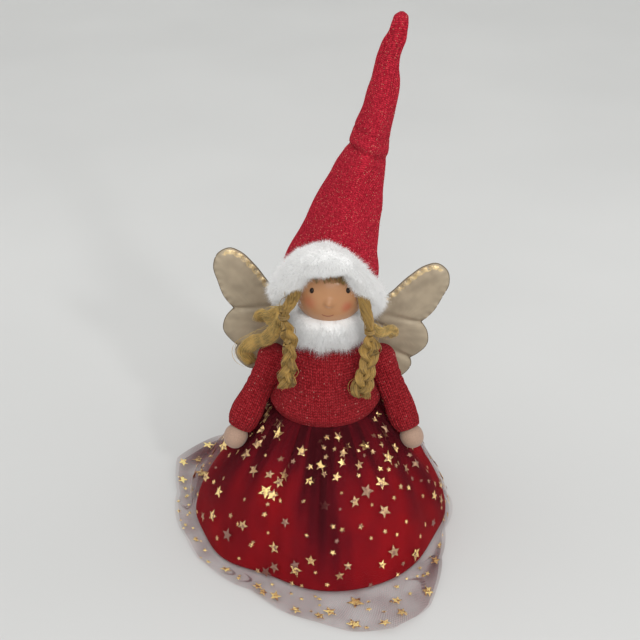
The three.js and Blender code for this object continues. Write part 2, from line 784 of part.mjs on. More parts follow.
function wingRoot() {
  const level = bodyBase + wingRise;
  const frame = new THREE.Group();
  frame.position.set(centreLine(level), sweaterRadius + wingStandOff, level);
  frame.rotation.y = radians(wingTilt);
  frame.updateMatrixWorld();
  return frame;
}

function wingPatch() {
  const box = new THREE.BoxGeometry(patchWidth, patchDepth, patchHeight);
  box.translate(0, (skinThickness - patchDepth) / 2, 0).applyMatrix4(wingRoot().matrixWorld);
  return cut(box, [sweaterForm(clearance)]);
}

// Finishes: colour, roughness, metalness
const finishes = {
  card: ['#c9b79a', 0.9, 0],
  wood: ['#c8a878', 0.8, 0],
  filling: ['#ece8e0', 1, 0],
  velvet: ['#8a0f1e', 0.9, 0],
  tulle: ['#5e1024', 0.8, 0],
  elastic: ['#e8e4dc', 0.8, 0],
  knit: ['#b3152f', 0.95, 0],
  hatKnit: ['#c01f3c', 0.95, 0],
  fur: ['#f1f0ee', 1, 0],
  skin: ['#d69a74', 0.45, 0],
  handSkin: ['#c9a48c', 0.7, 0],
  bead: ['#1c1614', 0.2, 0],
  hair: ['#9a7434', 0.8, 0],
  leather: ['#a8977a', 0.45, 0.3],
  leatherBack: ['#94856b', 0.5, 0.3],
};

function add(parent, name, geometry, finish) {
  const [color, roughness, metalness] = finishes[finish];
  const mesh = new THREE.Mesh(geometry, new THREE.MeshStandardMaterial({ color, roughness, metalness }));
  mesh.name = name;
  parent.add(mesh);
}

function hinged(parent, position) {
  const group = new THREE.Group();
  group.position.copy(position);
  parent.add(group);
  return group;
}

const topper = new THREE.Group();
add(topper, 'tree_cone', treeCone(), 'card');
add(topper, 'cone_cap', coneCap(), 'wood');
add(topper, 'neck_dowel', dowel(0), 'wood');
add(topper, 'torso_stuffing', torsoStuffing(), 'filling');
add(topper, 'velvet_skirt', velvetSkirt(), 'velvet');
add(topper, 'tulle_underlayer', tulleLayer(underlayLift, 0, underlaySetback), 'tulle');
add(topper, 'tulle_overlayer', tulleLayer(overlayLift, tulleThickness + floorGap, 0), 'tulle');
add(topper, 'waist_elastic', waistElastic(), 'elastic');
add(topper, 'sweater_body', sweaterBody(), 'knit');
add(topper, 'fur_collar', furCollar(), 'fur');
add(topper, 'head_ball', headBall(), 'skin');
add(topper, 'hair_cap', hairCap(), 'hair');
add(topper, 'hat_crown', hatCrown(), 'hatKnit');
add(topper, 'crown_stuffing', crownStuffing(), 'filling');
add(topper, 'fur_brim', furBrim(), 'fur');
add(topper, 'wing_patch', wingPatch(), 'leatherBack');
const [right, left] = sides;
add(topper, 'swept_strand_right_upper', sweptStrand(right, upperStrandWidth, upperStrandShares), 'hair');
add(topper, 'swept_strand_right_lower', sweptStrand(right, lowerStrandWidth, lowerStrandShares), 'hair');
add(topper, 'swept_strand_left', sweptStrand(left, leftStrandWidth, leftStrandShares), 'hair');

const tip = hinged(topper, foldPoint);
add(tip, 'hat_tip', hatTip(), 'hatKnit');
add(tip, 'tip_stuffing', tipStuffing(), 'filling');

const wings = wingRoot();
topper.add(wings);
const hingeX = patchWidth / 2 + clearance;
const backFront = -skinThickness / 2;
const paddingFront = backFront - clearance - paddingThickness;
const frontFront = paddingFront - clearance - skinThickness;
for (const side of sides) {
  add(topper, `eye_${side.name}`, ball(eyeCentre(side.sign), eyeRadius, furSegments), 'bead');
  add(topper, `side_lock_${side.name}`, sideLock(side, 0), 'hair');
  add(topper, `hair_tie_${side.name}`, hairTie(side), 'hair');
  add(hinged(topper, side.tie), `braid_${side.name}`, braid(side), 'hair');

  const arm = hinged(topper, side.shoulder);
  add(arm, `sleeve_${side.name}`, sleeve(side), 'knit');
  add(arm, `arm_core_${side.name}`, armCore(side), 'filling');
  add(arm, `hand_${side.name}`, hand(side), 'handSkin');

  const rootX = hingeX + paddingSetback;
  const wing = `wing_${side.name}`;
  const padding = wingLayer(side, rootX, paddingShare, paddingFront, paddingThickness);
  add(wings, `${wing}_front_skin`, wingLayer(side, rootX, 1, frontFront, skinThickness), 'leather');
  add(wings, `${wing}_padding`, padding, 'filling');
  add(wings, `${wing}_back_skin`, wingLayer(side, hingeX, 1, backFront, skinThickness), 'leatherBack');
}

export default topper;
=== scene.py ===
"""Fairy tree topper: the cloth, fur, hair and finishes of the doll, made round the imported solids."""
import math

import bpy
import numpy as np
from bpy.props import FloatProperty, FloatVectorProperty, IntProperty, PointerProperty
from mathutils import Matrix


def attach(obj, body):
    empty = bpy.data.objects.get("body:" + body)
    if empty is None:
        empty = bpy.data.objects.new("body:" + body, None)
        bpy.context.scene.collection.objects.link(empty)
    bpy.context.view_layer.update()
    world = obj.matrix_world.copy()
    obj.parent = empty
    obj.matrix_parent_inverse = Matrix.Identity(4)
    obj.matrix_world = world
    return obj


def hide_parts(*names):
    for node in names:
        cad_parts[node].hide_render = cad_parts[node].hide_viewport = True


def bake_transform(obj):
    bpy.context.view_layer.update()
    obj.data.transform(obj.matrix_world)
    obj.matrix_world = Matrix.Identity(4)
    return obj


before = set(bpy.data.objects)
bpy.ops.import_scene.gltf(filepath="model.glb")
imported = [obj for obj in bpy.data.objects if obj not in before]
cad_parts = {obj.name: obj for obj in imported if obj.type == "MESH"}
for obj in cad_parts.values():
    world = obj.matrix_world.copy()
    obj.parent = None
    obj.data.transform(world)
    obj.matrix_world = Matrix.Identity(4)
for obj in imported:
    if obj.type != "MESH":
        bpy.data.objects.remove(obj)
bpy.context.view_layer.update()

bl_info = {
    "name": "Fairy tree topper",
    "version": (1, 0, 0),
    "blender": (4, 5, 0),
    "location": "3D View > Sidebar > Topper",
    "description": "Cloth, fur, hair and finishes of a fairy doll for the top of a tree",
    "category": "Add Mesh",
}

# Sizes of the solids that the cloth follows, in millimetres
MM = 0.001
TAU = 2 * math.pi
CLEARANCE = 0.3
LEAN = 0.035  # how far the middle line moves to the doll's left for each millimetre of height
CONE_TOP, CONE_HEIGHT, CAP = 33.0, 100.0, 2.4
BODY_BASE = CONE_HEIGHT + CAP + CLEARANCE
SWEATER_HEM = BODY_BASE + 7
NECK_TOP = BODY_BASE + 78
NECK_GAP = 1.7
SWEATER_TOP = NECK_TOP - NECK_GAP
SWEATER_RADIUS = 43.5
HEAD_RADIUS = 28.5
HEAD_LEVEL = NECK_TOP + NECK_GAP + HEAD_RADIUS
HEAD = np.array([LEAN * HEAD_LEVEL, 0, HEAD_LEVEL])
WAIST_RADIUS = CONE_TOP + 1.6
BAND_BOTTOM = SWEATER_HEM - 0.5
BAND_TOP = BAND_BOTTOM + 6
FLARE_TOP = BAND_BOTTOM - 4
FLARE_RADIUS = WAIST_RADIUS + 5.8
CONE_FOOT = 88.0
HEM_RADIUS = CONE_FOOT + 13
HEM_LIFT = 2.5
VELVET_HALF = 0.6  # half the thickness of the velvet
VELVET_LIFT = CLEARANCE + VELVET_HALF
UNDERLAY_LIFT = VELVET_LIFT + 0.95 + 0.5
OVERLAY_LIFT = UNDERLAY_LIFT + 0.7 + 0.5
SHOULDER_LEVEL = BODY_BASE + 42.3
WING_LEVEL = BODY_BASE + 44.3
WING_TILT = math.radians(4.8)
WING_SPAN = 94.0
SIDES = {"right": -1, "left": 1}
TIE_RISE = {"right": 15.3, "left": 2.5}
TIE_SPREAD = {"right": 34, "left": 30}
BRAID_LENGTH = {"right": 52, "left": 47}
NECK_WIDTH = 5.6 * 0.45  # width of a twisted end where it leaves its tie
# Places along a twisted end: outward and forward in neck widths, and down as a share of its length
BRAID_SWAY = {
    "right": [[-1.5, 1, 0.25], [-1.3, 2, 0.6], [0, 3, 1]],
    "left": [[0, 1, 0.25], [-1, 2, 0.6], [-3, 3, 1]],
}
ARM_DROP, ARM_OUTWARD, ARM_FORWARD = 50.6, 24.0, 20.0
ARM_LENGTH = 59.5
SHOULDER_DOME = 12.5
HAT_TOP = 420.2


def shoulder(side):
    """The joint of an arm."""
    sign = SIDES[side]
    return np.array([LEAN * SHOULDER_LEVEL + sign * 42.5, 2, SHOULDER_LEVEL])


def tie_point(side):
    """The middle of a hair tie, which is also the joint of the twisted end under it."""
    return np.array([HEAD[0] + SIDES[side] * TIE_SPREAD[side], -31, NECK_TOP + TIE_RISE[side]])


# Numbers for colours, shares and smooth curves


def shade(red, green, blue):
    """Linear colour of an sRGB one given from 0 to 255."""
    values = np.array([red, green, blue]) / 255
    linear = np.where(values <= 0.04045, values / 12.92, ((values + 0.055) / 1.055) ** 2.4)
    return (*linear, 1.0)


def smooth(table, where):
    """Columns of a table read at shares, on a cubic through its rows whose slope is the mean of its neighbours'."""
    table = np.asarray(table, float)
    knots, values = table[:, 0], table[:, 1:]
    slopes = np.gradient(values, knots, axis=0)
    where = np.clip(np.asarray(where, float), knots[0], knots[-1])
    low = np.clip(np.searchsorted(knots, where, side="right") - 1, 0, len(knots) - 2)
    width = knots[low + 1] - knots[low]
    part = ((where - knots[low]) / width)[..., None]
    width = width[..., None]
    soft = ease(part)
    rise = part * (1 - part) ** 2 * width * slopes[low] - part * part * (1 - part) * width * slopes[low + 1]
    found = values[low] * (1 - soft) + values[low + 1] * soft + rise
    return np.moveaxis(found, -1, 0)


def ease(share):
    """A share from 0 to 1 with a soft start and end, s^2 (3 - 2 s)."""
    share = np.clip(share, 0, 1)
    return share * share * (3 - 2 * share)


def hump(value, centre, width):
    """A smooth rise to 1 at the centre, exp of minus the square of the distance over the width."""
    return np.exp(-(((value - centre) / width) ** 2))


def turn_hump(angle, centre, width):
    """The same round a circle, in degrees."""
    return hump((angle - centre + 180) % 360 - 180, 0, width)


def humps(degrees, *spots):
    """The sum of smooth rises round a circle, each given as its height, its place and its width in degrees."""
    return sum(height * turn_hump(degrees, at, width) for height, at, width in spots)


def circle(count):
    """Angles evenly round a circle, from 0."""
    return np.linspace(0, TAU, count, endpoint=False)


def unit(vectors):
    """The same directions with a length of 1."""
    return vectors / np.maximum(np.linalg.norm(vectors, axis=-1, keepdims=True), 1e-9)


def waves(x, y, seed, count=6, scale=1.0):
    """Smooth unevenness: a sum of sines with random directions, lengths and phases, from about -1 to 1."""
    rng = np.random.default_rng(seed)
    total = np.zeros(np.broadcast(x, y).shape)
    for _ in range(count):
        heading, pace, phase = rng.uniform(0, TAU), rng.uniform(0.6, 1.8) * scale, rng.uniform(0, TAU)
        total = total + np.sin(pace * (x * math.cos(heading) + y * math.sin(heading)) + phase)
    return total / math.sqrt(count)


# Meshes from arrays


def mesh_object(name, points, groups, uvs=None, attributes=None, smooth_faces=True):
    """A mesh from points in millimetres and arrays of faces, all of one size in each array."""
    mesh = bpy.data.meshes.new(name)
    mesh.vertices.add(len(points))
    mesh.vertices.foreach_set("co", (np.asarray(points) * MM).astype(np.float32).ravel())
    corners = np.concatenate([g.ravel() for g in groups]).astype(np.int32)
    sizes = np.concatenate([np.full(len(g), g.shape[1]) for g in groups])
    starts = np.concatenate([[0], np.cumsum(sizes)[:-1]]).astype(np.int32)
    mesh.loops.add(len(corners))
    mesh.loops.foreach_set("vertex_index", corners)
    mesh.polygons.add(len(sizes))
    mesh.polygons.foreach_set("loop_start", starts)
    mesh.polygons.foreach_set("use_smooth", np.full(len(sizes), smooth_faces))
    mesh.update(calc_edges=True)
    if uvs is not None:
        layer = mesh.uv_layers.new(name="cloth")
        layer.data.foreach_set("uv", np.asarray(uvs, np.float32).ravel())
    for key, values in (attributes or {}).items():
        attribute = mesh.attributes.new(key, "FLOAT", "POINT")
        attribute.data.foreach_set("value", np.asarray(values, np.float32).ravel())
    mesh.validate()
    made = bpy.data.objects.new(name, mesh)
    bpy.context.scene.collection.objects.link(made)
    return made


def outward(points, groups):
    """Whether a closed mesh is right side out: its volume, a sum over fans of each face, isn't negative."""
    volume = 0.0
    for faces in groups:
        fan = points[faces[:, 0]]
        for i in range(1, faces.shape[1] - 1):
            volume += float((fan * np.cross(points[faces[:, i]], points[faces[:, i + 1]])).sum())
    return volume >= 0


def skin(name, grid, uv=None, attributes=None, loop_rows=False, loop_columns=True, caps=True):
    """A closed skin over a grid of points, rows by columns.

    Columns go round and rows go along. Ends are closed by a fan to the middle of the end row. uv holds a
    place for each row and for each column and one more, so that a pattern can run up to its seam.
    """
    rows, columns = grid.shape[:2]
    points = grid.reshape(-1, 3)
    i = np.arange(rows if loop_rows else rows - 1)[:, None]
    j = np.arange(columns if loop_columns else columns - 1)[None, :]
    i, j = [x.ravel() for x in np.broadcast_arrays(i, j)]
    up, on = (i + 1) % rows, (j + 1) % columns
    groups = [np.stack([i * columns + j, i * columns + on, up * columns + on, up * columns + j], 1)]
    places = [] if uv is None else [np.stack([uv[i, j], uv[i, j + 1], uv[up, j + 1], uv[up, j]], 1)]
    values = {key: np.broadcast_to(v, (rows, columns)).ravel() for key, v in (attributes or {}).items()}
    if caps and not loop_rows:
        for row, way in ((0, -1), (rows - 1, 1)):
            hub = np.full((columns, 1), len(points))
            points = np.vstack([points, grid[row].mean(0)])
            ring = row * columns + np.arange(columns)
            pair = np.stack([ring, row * columns + (np.arange(columns) + 1) % columns], 1)
            groups.append(np.concatenate([hub, pair[:, ::way]], 1))
            values = {key: np.append(v, v[ring].mean()) for key, v in values.items()}
            if uv is not None:
                ends = np.stack([uv[row, :-1], uv[row, 1:]], 1)[:, ::way]
                places.append(np.concatenate([np.broadcast_to(uv[row].mean(0), (columns, 1, 2)), ends], 1))
    closed = loop_columns and (loop_rows or caps)
    if closed and not outward(points, groups):
        groups, places = [[x[:, ::-1] for x in each] for each in (groups, places)]
    flat = np.concatenate([place.reshape(-1, 2) for place in places]) if places else None
    return mesh_object(name, points, groups, flat, values)


def lapped(count, edge, ends=4):
    """Rows for a cloth with a thickness: shares along it, and sides from 1, outside, to -1, inside.

    The rows run down the outside, round the far edge in a half circle, up the inside and round the near edge.
    """
    along = np.linspace(0, 1, count)
    arc = np.linspace(0, math.pi, ends + 2)[1:-1]
    shares = np.concatenate([along, 1 + edge * np.sin(arc), along[::-1], -edge * np.sin(arc)])
    side = np.concatenate([np.ones(count), np.cos(arc), -np.ones(count), -np.cos(arc)])
    return shares[:, None], side[:, None]


def tubes(name, centres, radii, sides=5, attributes=None):
    """Closed round tubes along many lines at once: centres of shape (tubes, steps, 3), radii (tubes, steps).

    A ring at each step is centre + radius * (cos a * u + sin a * v), with u and v square to the line.
    """
    count, steps = centres.shape[:2]
    along = unit(np.gradient(centres, axis=1))
    helper = np.where(np.abs(along[..., 2:3]) > 0.9, [1.0, 0, 0], [0, 0, 1.0])
    across = unit(np.cross(along, helper))
    through = np.cross(along, across)
    angles = np.arange(sides) * TAU / sides
    rings = (
        centres[:, :, None]
        + radii[:, :, None, None]
        * (across[:, :, None] * np.cos(angles)[:, None] + through[:, :, None] * np.sin(angles)[:, None])
    )
    ends = np.stack([centres[:, 0], centres[:, -1]], 1)
    points = np.concatenate([rings.reshape(count, -1, 3), ends], 1)
    each = points.shape[1]
    i, j = [x.ravel() for x in np.meshgrid(np.arange(steps - 1), np.arange(sides), indexing="ij")]
    on = (j + 1) % sides
    quads = np.stack([i * sides + j, i * sides + on, (i + 1) * sides + on, (i + 1) * sides + j], 1)
    j = np.arange(sides)
    on = (j + 1) % sides
    last = (steps - 1) * sides
    start = np.stack([np.full(sides, steps * sides), on, j], 1)
    stop = np.stack([np.full(sides, steps * sides + 1), last + j, last + on], 1)
    shift = (np.arange(count) * each)[:, None, None]
    groups = [(g[None] + shift).reshape(-1, g.shape[1]) for g in (quads, np.concatenate([start, stop]))]
    points = points.reshape(-1, 3)
    if not outward(points, groups):
        groups = [g[:, ::-1] for g in groups]
    values = {}
    for key, value in (attributes or {}).items():
        values[key] = np.repeat(np.asarray(value, float), each)
    return mesh_object(name, points, groups, None, values)


def fibres(name, roots, headings, lengths, width, bend, steps=2):
    """Tapered three-sided hairs. A hair's middle line is root + heading * length * t + bend * length * t^2."""
    share = np.linspace(0, 1, steps + 1)[:-1]
    reach = lengths[:, None, None] * share[None, :, None]
    lines = roots[:, None] + headings[:, None] * reach + bend[:, None] * reach * share[None, :, None]
    tips = roots + (headings + bend) * lengths[:, None]
    across = unit(np.cross(headings, [0.31, 0.53, 0.79]))
    through = np.cross(headings, across)
    angles = np.arange(3) * TAU / 3
    spokes = across[:, None] * np.cos(angles)[None, :, None] + through[:, None] * np.sin(angles)[None, :, None]
    widths = (width * (1 - 0.75 * share))[None, :, None, None] / 2
    rings = lines[:, :, None] + spokes[:, None] * widths
    points = np.concatenate([rings.reshape(len(roots), -1, 3), tips[:, None]], 1)
    each = points.shape[1]
    rows = []
    for row in range(steps - 1):
        for side in range(3):
            a, b = row * 3 + side, row * 3 + (side + 1) % 3
            rows += [[a, b, b + 3], [a, b + 3, a + 3]]
    last = (steps - 1) * 3
    rows += [[last + side, last + (side + 1) % 3, steps * 3] for side in range(3)] + [[0, 2, 1]]
    faces = (np.array(rows)[None] + (np.arange(len(roots)) * each)[:, None, None]).reshape(-1, 3)
    points = points.reshape(-1, 3)
    tested = 50
    if not outward(points[: each * tested], [faces[: len(rows) * tested]]):
        faces = faces[:, ::-1]
    return mesh_object(name, points, [faces])


def outward_square(grid, loop_rows=False):
    """Unit vectors square to a grid whose columns go round, away from its middle."""
    down = np.roll(grid, -1, 0) - np.roll(grid, 1, 0) if loop_rows else np.gradient(grid, axis=0)
    square = np.cross(np.roll(grid, -1, 1) - np.roll(grid, 1, 1), down)
    if float((square * (grid - grid.mean(axis=(0, 1)))).sum()) < 0:
        square = -square
    return unit(square)


def scatter(grid, count, rng, loop_rows=False):
    """Random places on a grid whose columns go round, evenly by area: points, and unit vectors square to it."""
    rows, columns = grid.shape[:2]
    square = outward_square(grid, loop_rows)
    low = np.arange(rows if loop_rows else rows - 1)
    down, across = grid[(low + 1) % rows] - grid[low], np.roll(grid, -1, 1)[low] - grid[low]
    area = np.linalg.norm(np.cross(down, across), axis=-1)
    chosen = rng.choice(area.size, count, p=(area / area.sum()).ravel())
    i, j = np.divmod(chosen, columns)
    s, t = rng.random((2, count, 1))
    on, above = (j + 1) % columns, (i + 1) % rows

    def between(field):
        """A field of the grid at the chosen places, from the four corners round each."""
        lower = field[i, j] * (1 - t) + field[i, on] * t
        upper = field[above, j] * (1 - t) + field[above, on] * t
        return lower * (1 - s) + upper * s

    return between(grid), unit(between(square))


def arc_lengths(grid, seam):
    """Distances round each row from the column called seam, for each column and one more."""
    step = np.linalg.norm(np.roll(grid, -1, 1) - grid, axis=-1)
    run = np.concatenate([np.zeros((len(grid), 1)), np.cumsum(step, 1)], 1)
    return run - run[:, seam : seam + 1]


def run_down(grid):
    """Mean distance of each row from the first one, measured along the grid."""
    return np.concatenate([[0], np.cumsum(np.linalg.norm(np.diff(grid, axis=0), axis=-1).mean(1))])


def cloth_map(around, down):
    """A map for skin: places round, for each column and one more, and places down, for each row."""
    return np.stack(np.broadcast_arrays(around, down[:, None]), -1)


# Finishes


class Finish:
    """A material made step by step. Each call adds one node and gives its output."""

    def __init__(self, name, sockets):
        self.material = bpy.data.materials.new(name)
        self.material.use_nodes = True
        self.tree = self.material.node_tree
        self.shader = self.tree.nodes["Principled BSDF"]
        for key, value in sockets.items():
            self.put(key, value)

    def feed(self, socket, value):
        """Links an output to a socket, or sets the socket's own value."""
        if isinstance(value, bpy.types.NodeSocket):
            self.tree.links.new(value, socket)
        else:
            socket.default_value = value

    def put(self, key, value):
        """Feeds a socket of the shader."""
        self.feed(self.shader.inputs[key], value)

    def colour(self, value):
        """Feeds the base colour and gives the finished material."""
        self.put("Base Color", value)
        return self.material

    def add(self, kind, inputs=None, output=0, **settings):
        """A new node of a kind, with its inputs fed and its settings set."""
        node = self.tree.nodes.new("ShaderNode" + kind)
        for key, value in settings.items():
            setattr(node, key, value)
        for key, value in (inputs or {}).items():
            self.feed(node.inputs[key], value)
        return node.outputs[output]

    def math(self, operation, first, second=0.0, clamp=False):
        """One sum, product or other operation on two numbers."""
        return self.add("Math", {0: first, 1: second}, operation=operation, use_clamp=clamp)

    def times(self, first, second):
        """The product of two numbers."""
        return self.math("MULTIPLY", first, second)

    def plus(self, first, second):
        """The sum of two numbers."""
        return self.math("ADD", first, second)

    def mix(self, share, first, second):
        """From the first colour to the second by a share."""
        return self.add("Mix", {0: share, 6: first, 7: second}, 2, data_type="RGBA", clamp_factor=True)

    def step(self, value, low, high, start=0.0, stop=1.0):
        """A smooth step from start to stop as the value goes from low to high."""
        inputs = {0: value, 1: low, 2: high, 3: start, 4: stop}
        return self.add("MapRange", inputs, interpolation_type="SMOOTHSTEP")

    def space(self):
        """Object coordinates, in metres."""
        return self.add("TexCoord", output="Object")

    def parts(self, vector):
        """The three coordinates of a vector."""
        node = self.tree.nodes.new("ShaderNodeSeparateXYZ")
        self.tree.links.new(vector, node.inputs[0])
        return node.outputs[0], node.outputs[1], node.outputs[2]

    def cloth(self):
        """The two coordinates of the cloth's own map."""
        return self.parts(self.add("UVMap", uv_map="cloth"))[:2]

    def value(self, name):
        """An attribute of the piece's points."""
        return self.add("Attribute", output="Fac", attribute_name=name)

    def noise(self, scale, detail=3.0, vector=None, rough=0.5):
        """Cloudy noise from 0 to 1."""
        vector = vector or self.space()
        return self.add("TexNoise", {"Vector": vector, "Scale": scale, "Detail": detail, "Roughness": rough})

    def cells(self, scale, output="Distance", vector=None):
        """Cells round scattered points: the distance from the nearest, or another output."""
        return self.add("TexVoronoi", {"Vector": vector or self.space(), "Scale": scale}, output)

    def stretched(self, vector, x, y, z):
        """A vector with each coordinate multiplied."""
        return self.add("VectorMath", {0: vector, 1: (x, y, z)}, operation="MULTIPLY")

    def bump(self, height, depth):
        """Relief of that depth in millimetres where the height goes from 0 to 1."""
        self.put("Normal", self.add("Bump", {"Height": height, "Distance": depth * MM, "Strength": 1.0}))


def scaled(colour, share):
    """A colour made lighter or darker by a share."""
    return (*[c * share for c in colour[:3]], 1.0)


def card_finish():
    """Grey-brown card with a fine grain."""
    made = Finish("kraft card", {"Roughness": 0.9})
    grain = made.noise(900.0, 4.0)
    made.bump(grain, 0.1)
    return made.colour(made.mix(made.step(grain, 0.35, 0.7), shade(170, 138, 100), shade(205, 178, 140)))


def wood_finish():
    """Turned wood with its grain running up."""
    made = Finish("turned wood", {"Roughness": 0.7})
    grain = made.noise(400.0, 4.0, made.stretched(made.space(), 1.0, 1.0, 0.08))
    made.bump(grain, 0.08)
    return made.colour(made.mix(grain, shade(176, 138, 92), shade(216, 184, 138)))


def velvet_finish(colour):
    """Short pile: dark across, brighter where it is brushed the other way."""
    made = Finish("red velvet", {"Roughness": 0.85, "Sheen Weight": 0.1, "Sheen Roughness": 0.35})
    made.put("Sheen Tint", shade(255, 90, 95))
    made.put("Specular IOR Level", 0.15)
    brushed = made.step(made.noise(28.0, 3.0, made.stretched(made.space(), 1.6, 1.0, 0.6)), 0.3, 0.7)
    pile = made.noise(1600.0, 2.0)
    made.bump(pile, 0.25)
    deep = made.mix(brushed, scaled(colour, 0.7), scaled(colour, 1.2))
    return made.colour(made.mix(made.step(pile, 0.3, 0.7, 0.0, 0.35), deep, scaled(colour, 0.5)))


def tulle_finish(name, colour, opacity):
    """A fine net: threads run both ways across the cloth. It is closer where the cloth is gathered, and painted darker
    there as shade in the pleats and creases.
    """
    made = Finish(name, {"Roughness": 0.8, "Specular IOR Level": 0.1})
    x, y = made.cloth()
    ways = [made.math("ABSOLUTE", made.math("SUBTRACT", made.math("FRACT", made.times(way, 0.75)), 0.5))
            for way in (made.plus(x, y), made.math("SUBTRACT", x, y))]
    thread = made.step(made.math("MAXIMUM", *ways), 0.3, 0.48)
    gather_and_shade = made.value("gather_and_shade")
    cloudy = made.step(made.noise(45.0, 2.0), 0.35, 0.7, 0.75, 1.2)
    base = made.plus(made.times(thread, opacity * 0.9), opacity * 0.55)
    base = made.times(base, cloudy)
    made.put("Alpha", made.math("ADD", base, made.times(gather_and_shade, 0.62), True))
    # painted shade: the colour goes down to three tenths where the net is gathered, in its pleats and creases
    return made.colour(made.mix(gather_and_shade, colour, scaled(colour, 0.3)))


def star_finish(name, colour):
    """Crinkled foil: small flat facets at different tilts, dark patches painted on as dark reflections, and each star
    painted between a shaded mauve-brown and a lit pale gold.
    """
    made = Finish(name, {"Metallic": 0.6, "Roughness": 0.34})
    facet = made.cells(520.0)
    made.bump(made.plus(facet, made.noise(900.0, 2.0)), 0.45)
    # painted light and shade for each star: from a mauve-brown for stars in shade to a brighter gold for lit ones
    star_light_and_shade = made.mix(made.value("star_light_and_shade"), shade(136, 98, 92), scaled(colour, 1.4))
    # dull brown patches: painted dark reflections on the foil's facets
    return made.colour(made.mix(made.step(made.noise(420.0, 2.0), 0.34, 0.56), shade(142, 106, 90), star_light_and_shade))


def knit_finish(name, colour, glitter, relief):
    """Plain knitting. Each stitch is a pair of legs: with f the distance from the stitch's middle line and
    g the part of its height left over from y + 0.9 f, the height is the root of sin(pi g) times sin(2 pi f).
    Bright threads run through it, which show as flecks. Where the height is low, between the stitches, the colour is
    painted darker as shade."""
    made = Finish(name, {"Roughness": 0.9, "Sheen Weight": 0.02, "Sheen Roughness": 0.5})
    made.put("Specular IOR Level", 0.08)
    x, y = made.cloth()
    aside = made.math("ABSOLUTE", made.math("SUBTRACT", made.math("FRACT", x), 0.5))
    lifted = made.math("FRACT", made.plus(y, made.times(aside, 0.9)))
    leg = made.math("SINE", made.times(lifted, math.pi))
    row = made.math("SINE", made.times(aside, TAU))
    stitch = made.math("SQRT", made.math("MAXIMUM", made.times(leg, row), 0.0))
    lint = made.noise(1500.0, 3.0)
    made.bump(made.plus(stitch, made.times(lint, 0.5)), relief)
    patchy = made.step(made.noise(640.0, 3.0), 0.34, 0.66)
    tone = made.mix(patchy, scaled(colour, 0.7), made.mix(0.06, scaled(colour, 1.3), shade(255, 170, 175)))
    # painted shade: the colour darkens to about half between the stitches, where the height is low
    tone = made.mix(stitch, scaled(colour, 0.48), tone)
    dashes = made.stretched(made.add("UVMap", uv_map="cloth"), 1.0, 0.55, 1.0)
    scale, rare, bright = glitter
    point = made.step(made.cells(scale, vector=dashes), 0.16, 0.3, 1.0, 0.0)
    pick = made.add("SeparateColor", {0: made.cells(scale, "Color", dashes)})
    fleck = made.times(point, made.step(pick, rare, rare + 0.04))
    made.put("Metallic", made.times(fleck, 0.55))
    made.put("Roughness", made.step(fleck, 0.0, 1.0, 0.9, 0.35))
    return made.colour(made.mix(fleck, tone, bright))


def lint_finish(name, colour):
    """Loose fibres, lighter and darker."""
    made = Finish(name, {"Roughness": 0.85, "Specular IOR Level": 0.1})
    return made.colour(made.mix(made.noise(260.0, 2.0), scaled(colour, 0.7), scaled(colour, 1.25)))


def fur_finish(name, colour, hairs):
    """White pile. The hairs glow faintly in their own colour, as painted light, and the cloth under them is painted
    darker, as shade between the hairs.
    """
    made = Finish(name, {"Roughness": 0.9, "Specular IOR Level": 0.1})
    if hairs:
        made.put("Sheen Weight", 0.6)
        # painted light: the hairs glow faintly in their own colour
        made.put("Emission Color", colour)
        made.put("Emission Strength", 0.08)
    else:
        made.put("Subsurface Weight", 0.5)
        made.put("Subsurface Radius", (0.004, 0.004, 0.004))
    tuft = made.step(made.noise(170.0, 3.0), 0.3, 0.7)
    # painted shade: the cloth under the hairs is darker than the hairs themselves
    return made.colour(made.mix(tuft, scaled(colour, 0.94 if hairs else 0.8), scaled(colour, 1.0 if hairs else 0.86)))


def hair_finish(name, colour):
    """Dull strands, each of its own tone, with lighter stretches."""
    made = Finish(name, {"Roughness": 0.55, "Sheen Weight": 0.08})
    strand = made.value("strand")
    along = made.noise(140.0, 2.0)
    tone = made.mix(strand, scaled(colour, 0.42), scaled(colour, 1.4))
    return made.colour(made.mix(made.step(along, 0.35, 0.8), tone, scaled(colour, 1.4)))


def face_finish(colour, blush, lips):
    """Smooth paint with rosy cheeks and a thin painted smile, an arc z = low + bend * (x - middle)^2."""
    made = Finish("painted face", {"Roughness": 0.45, "Specular IOR Level": 0.2, "Coat Weight": 0.3})
    made.put("Coat Roughness", 0.07)
    made.put("Subsurface Weight", 0.08)
    made.put("Subsurface Radius", (0.004, 0.002, 0.001))
    place = made.space()
    tone = made.mix(made.step(made.noise(60.0, 2.0), 0.3, 0.7), scaled(colour, 0.96), scaled(colour, 1.03))
    for x, z, reach, strength in ((12.6, -4.6, 7.0, 0.55), (-16.0, -1.5, 9.0, 0.4)):
        cheek = ((HEAD[0] + x) * MM, -0.0245, (HEAD[2] + z) * MM)
        away = made.add("VectorMath", {0: place, 1: cheek}, "Value", operation="DISTANCE")
        tone = made.mix(made.step(away, 0.001, reach * MM, strength, 0.0), tone, blush)
    aside, behind, height = made.parts(place)
    x = made.math("SUBTRACT", aside, (HEAD[0] - 1.6) * MM)
    arc = made.plus(made.times(made.times(x, x), 80.0), (HEAD[2] - 12.2) * MM)
    off = made.math("ABSOLUTE", made.math("SUBTRACT", height, arc))
    line = made.step(off, 0.00022, 0.00062, 1.0, 0.0)
    ends = made.step(made.math("ABSOLUTE", x), 0.0038, 0.0048, 1.0, 0.0)
    front = made.step(behind, -0.02, -0.018, 1.0, 0.0)
    smile = made.times(made.times(line, ends), front)
    return made.colour(made.mix(smile, tone, lips))


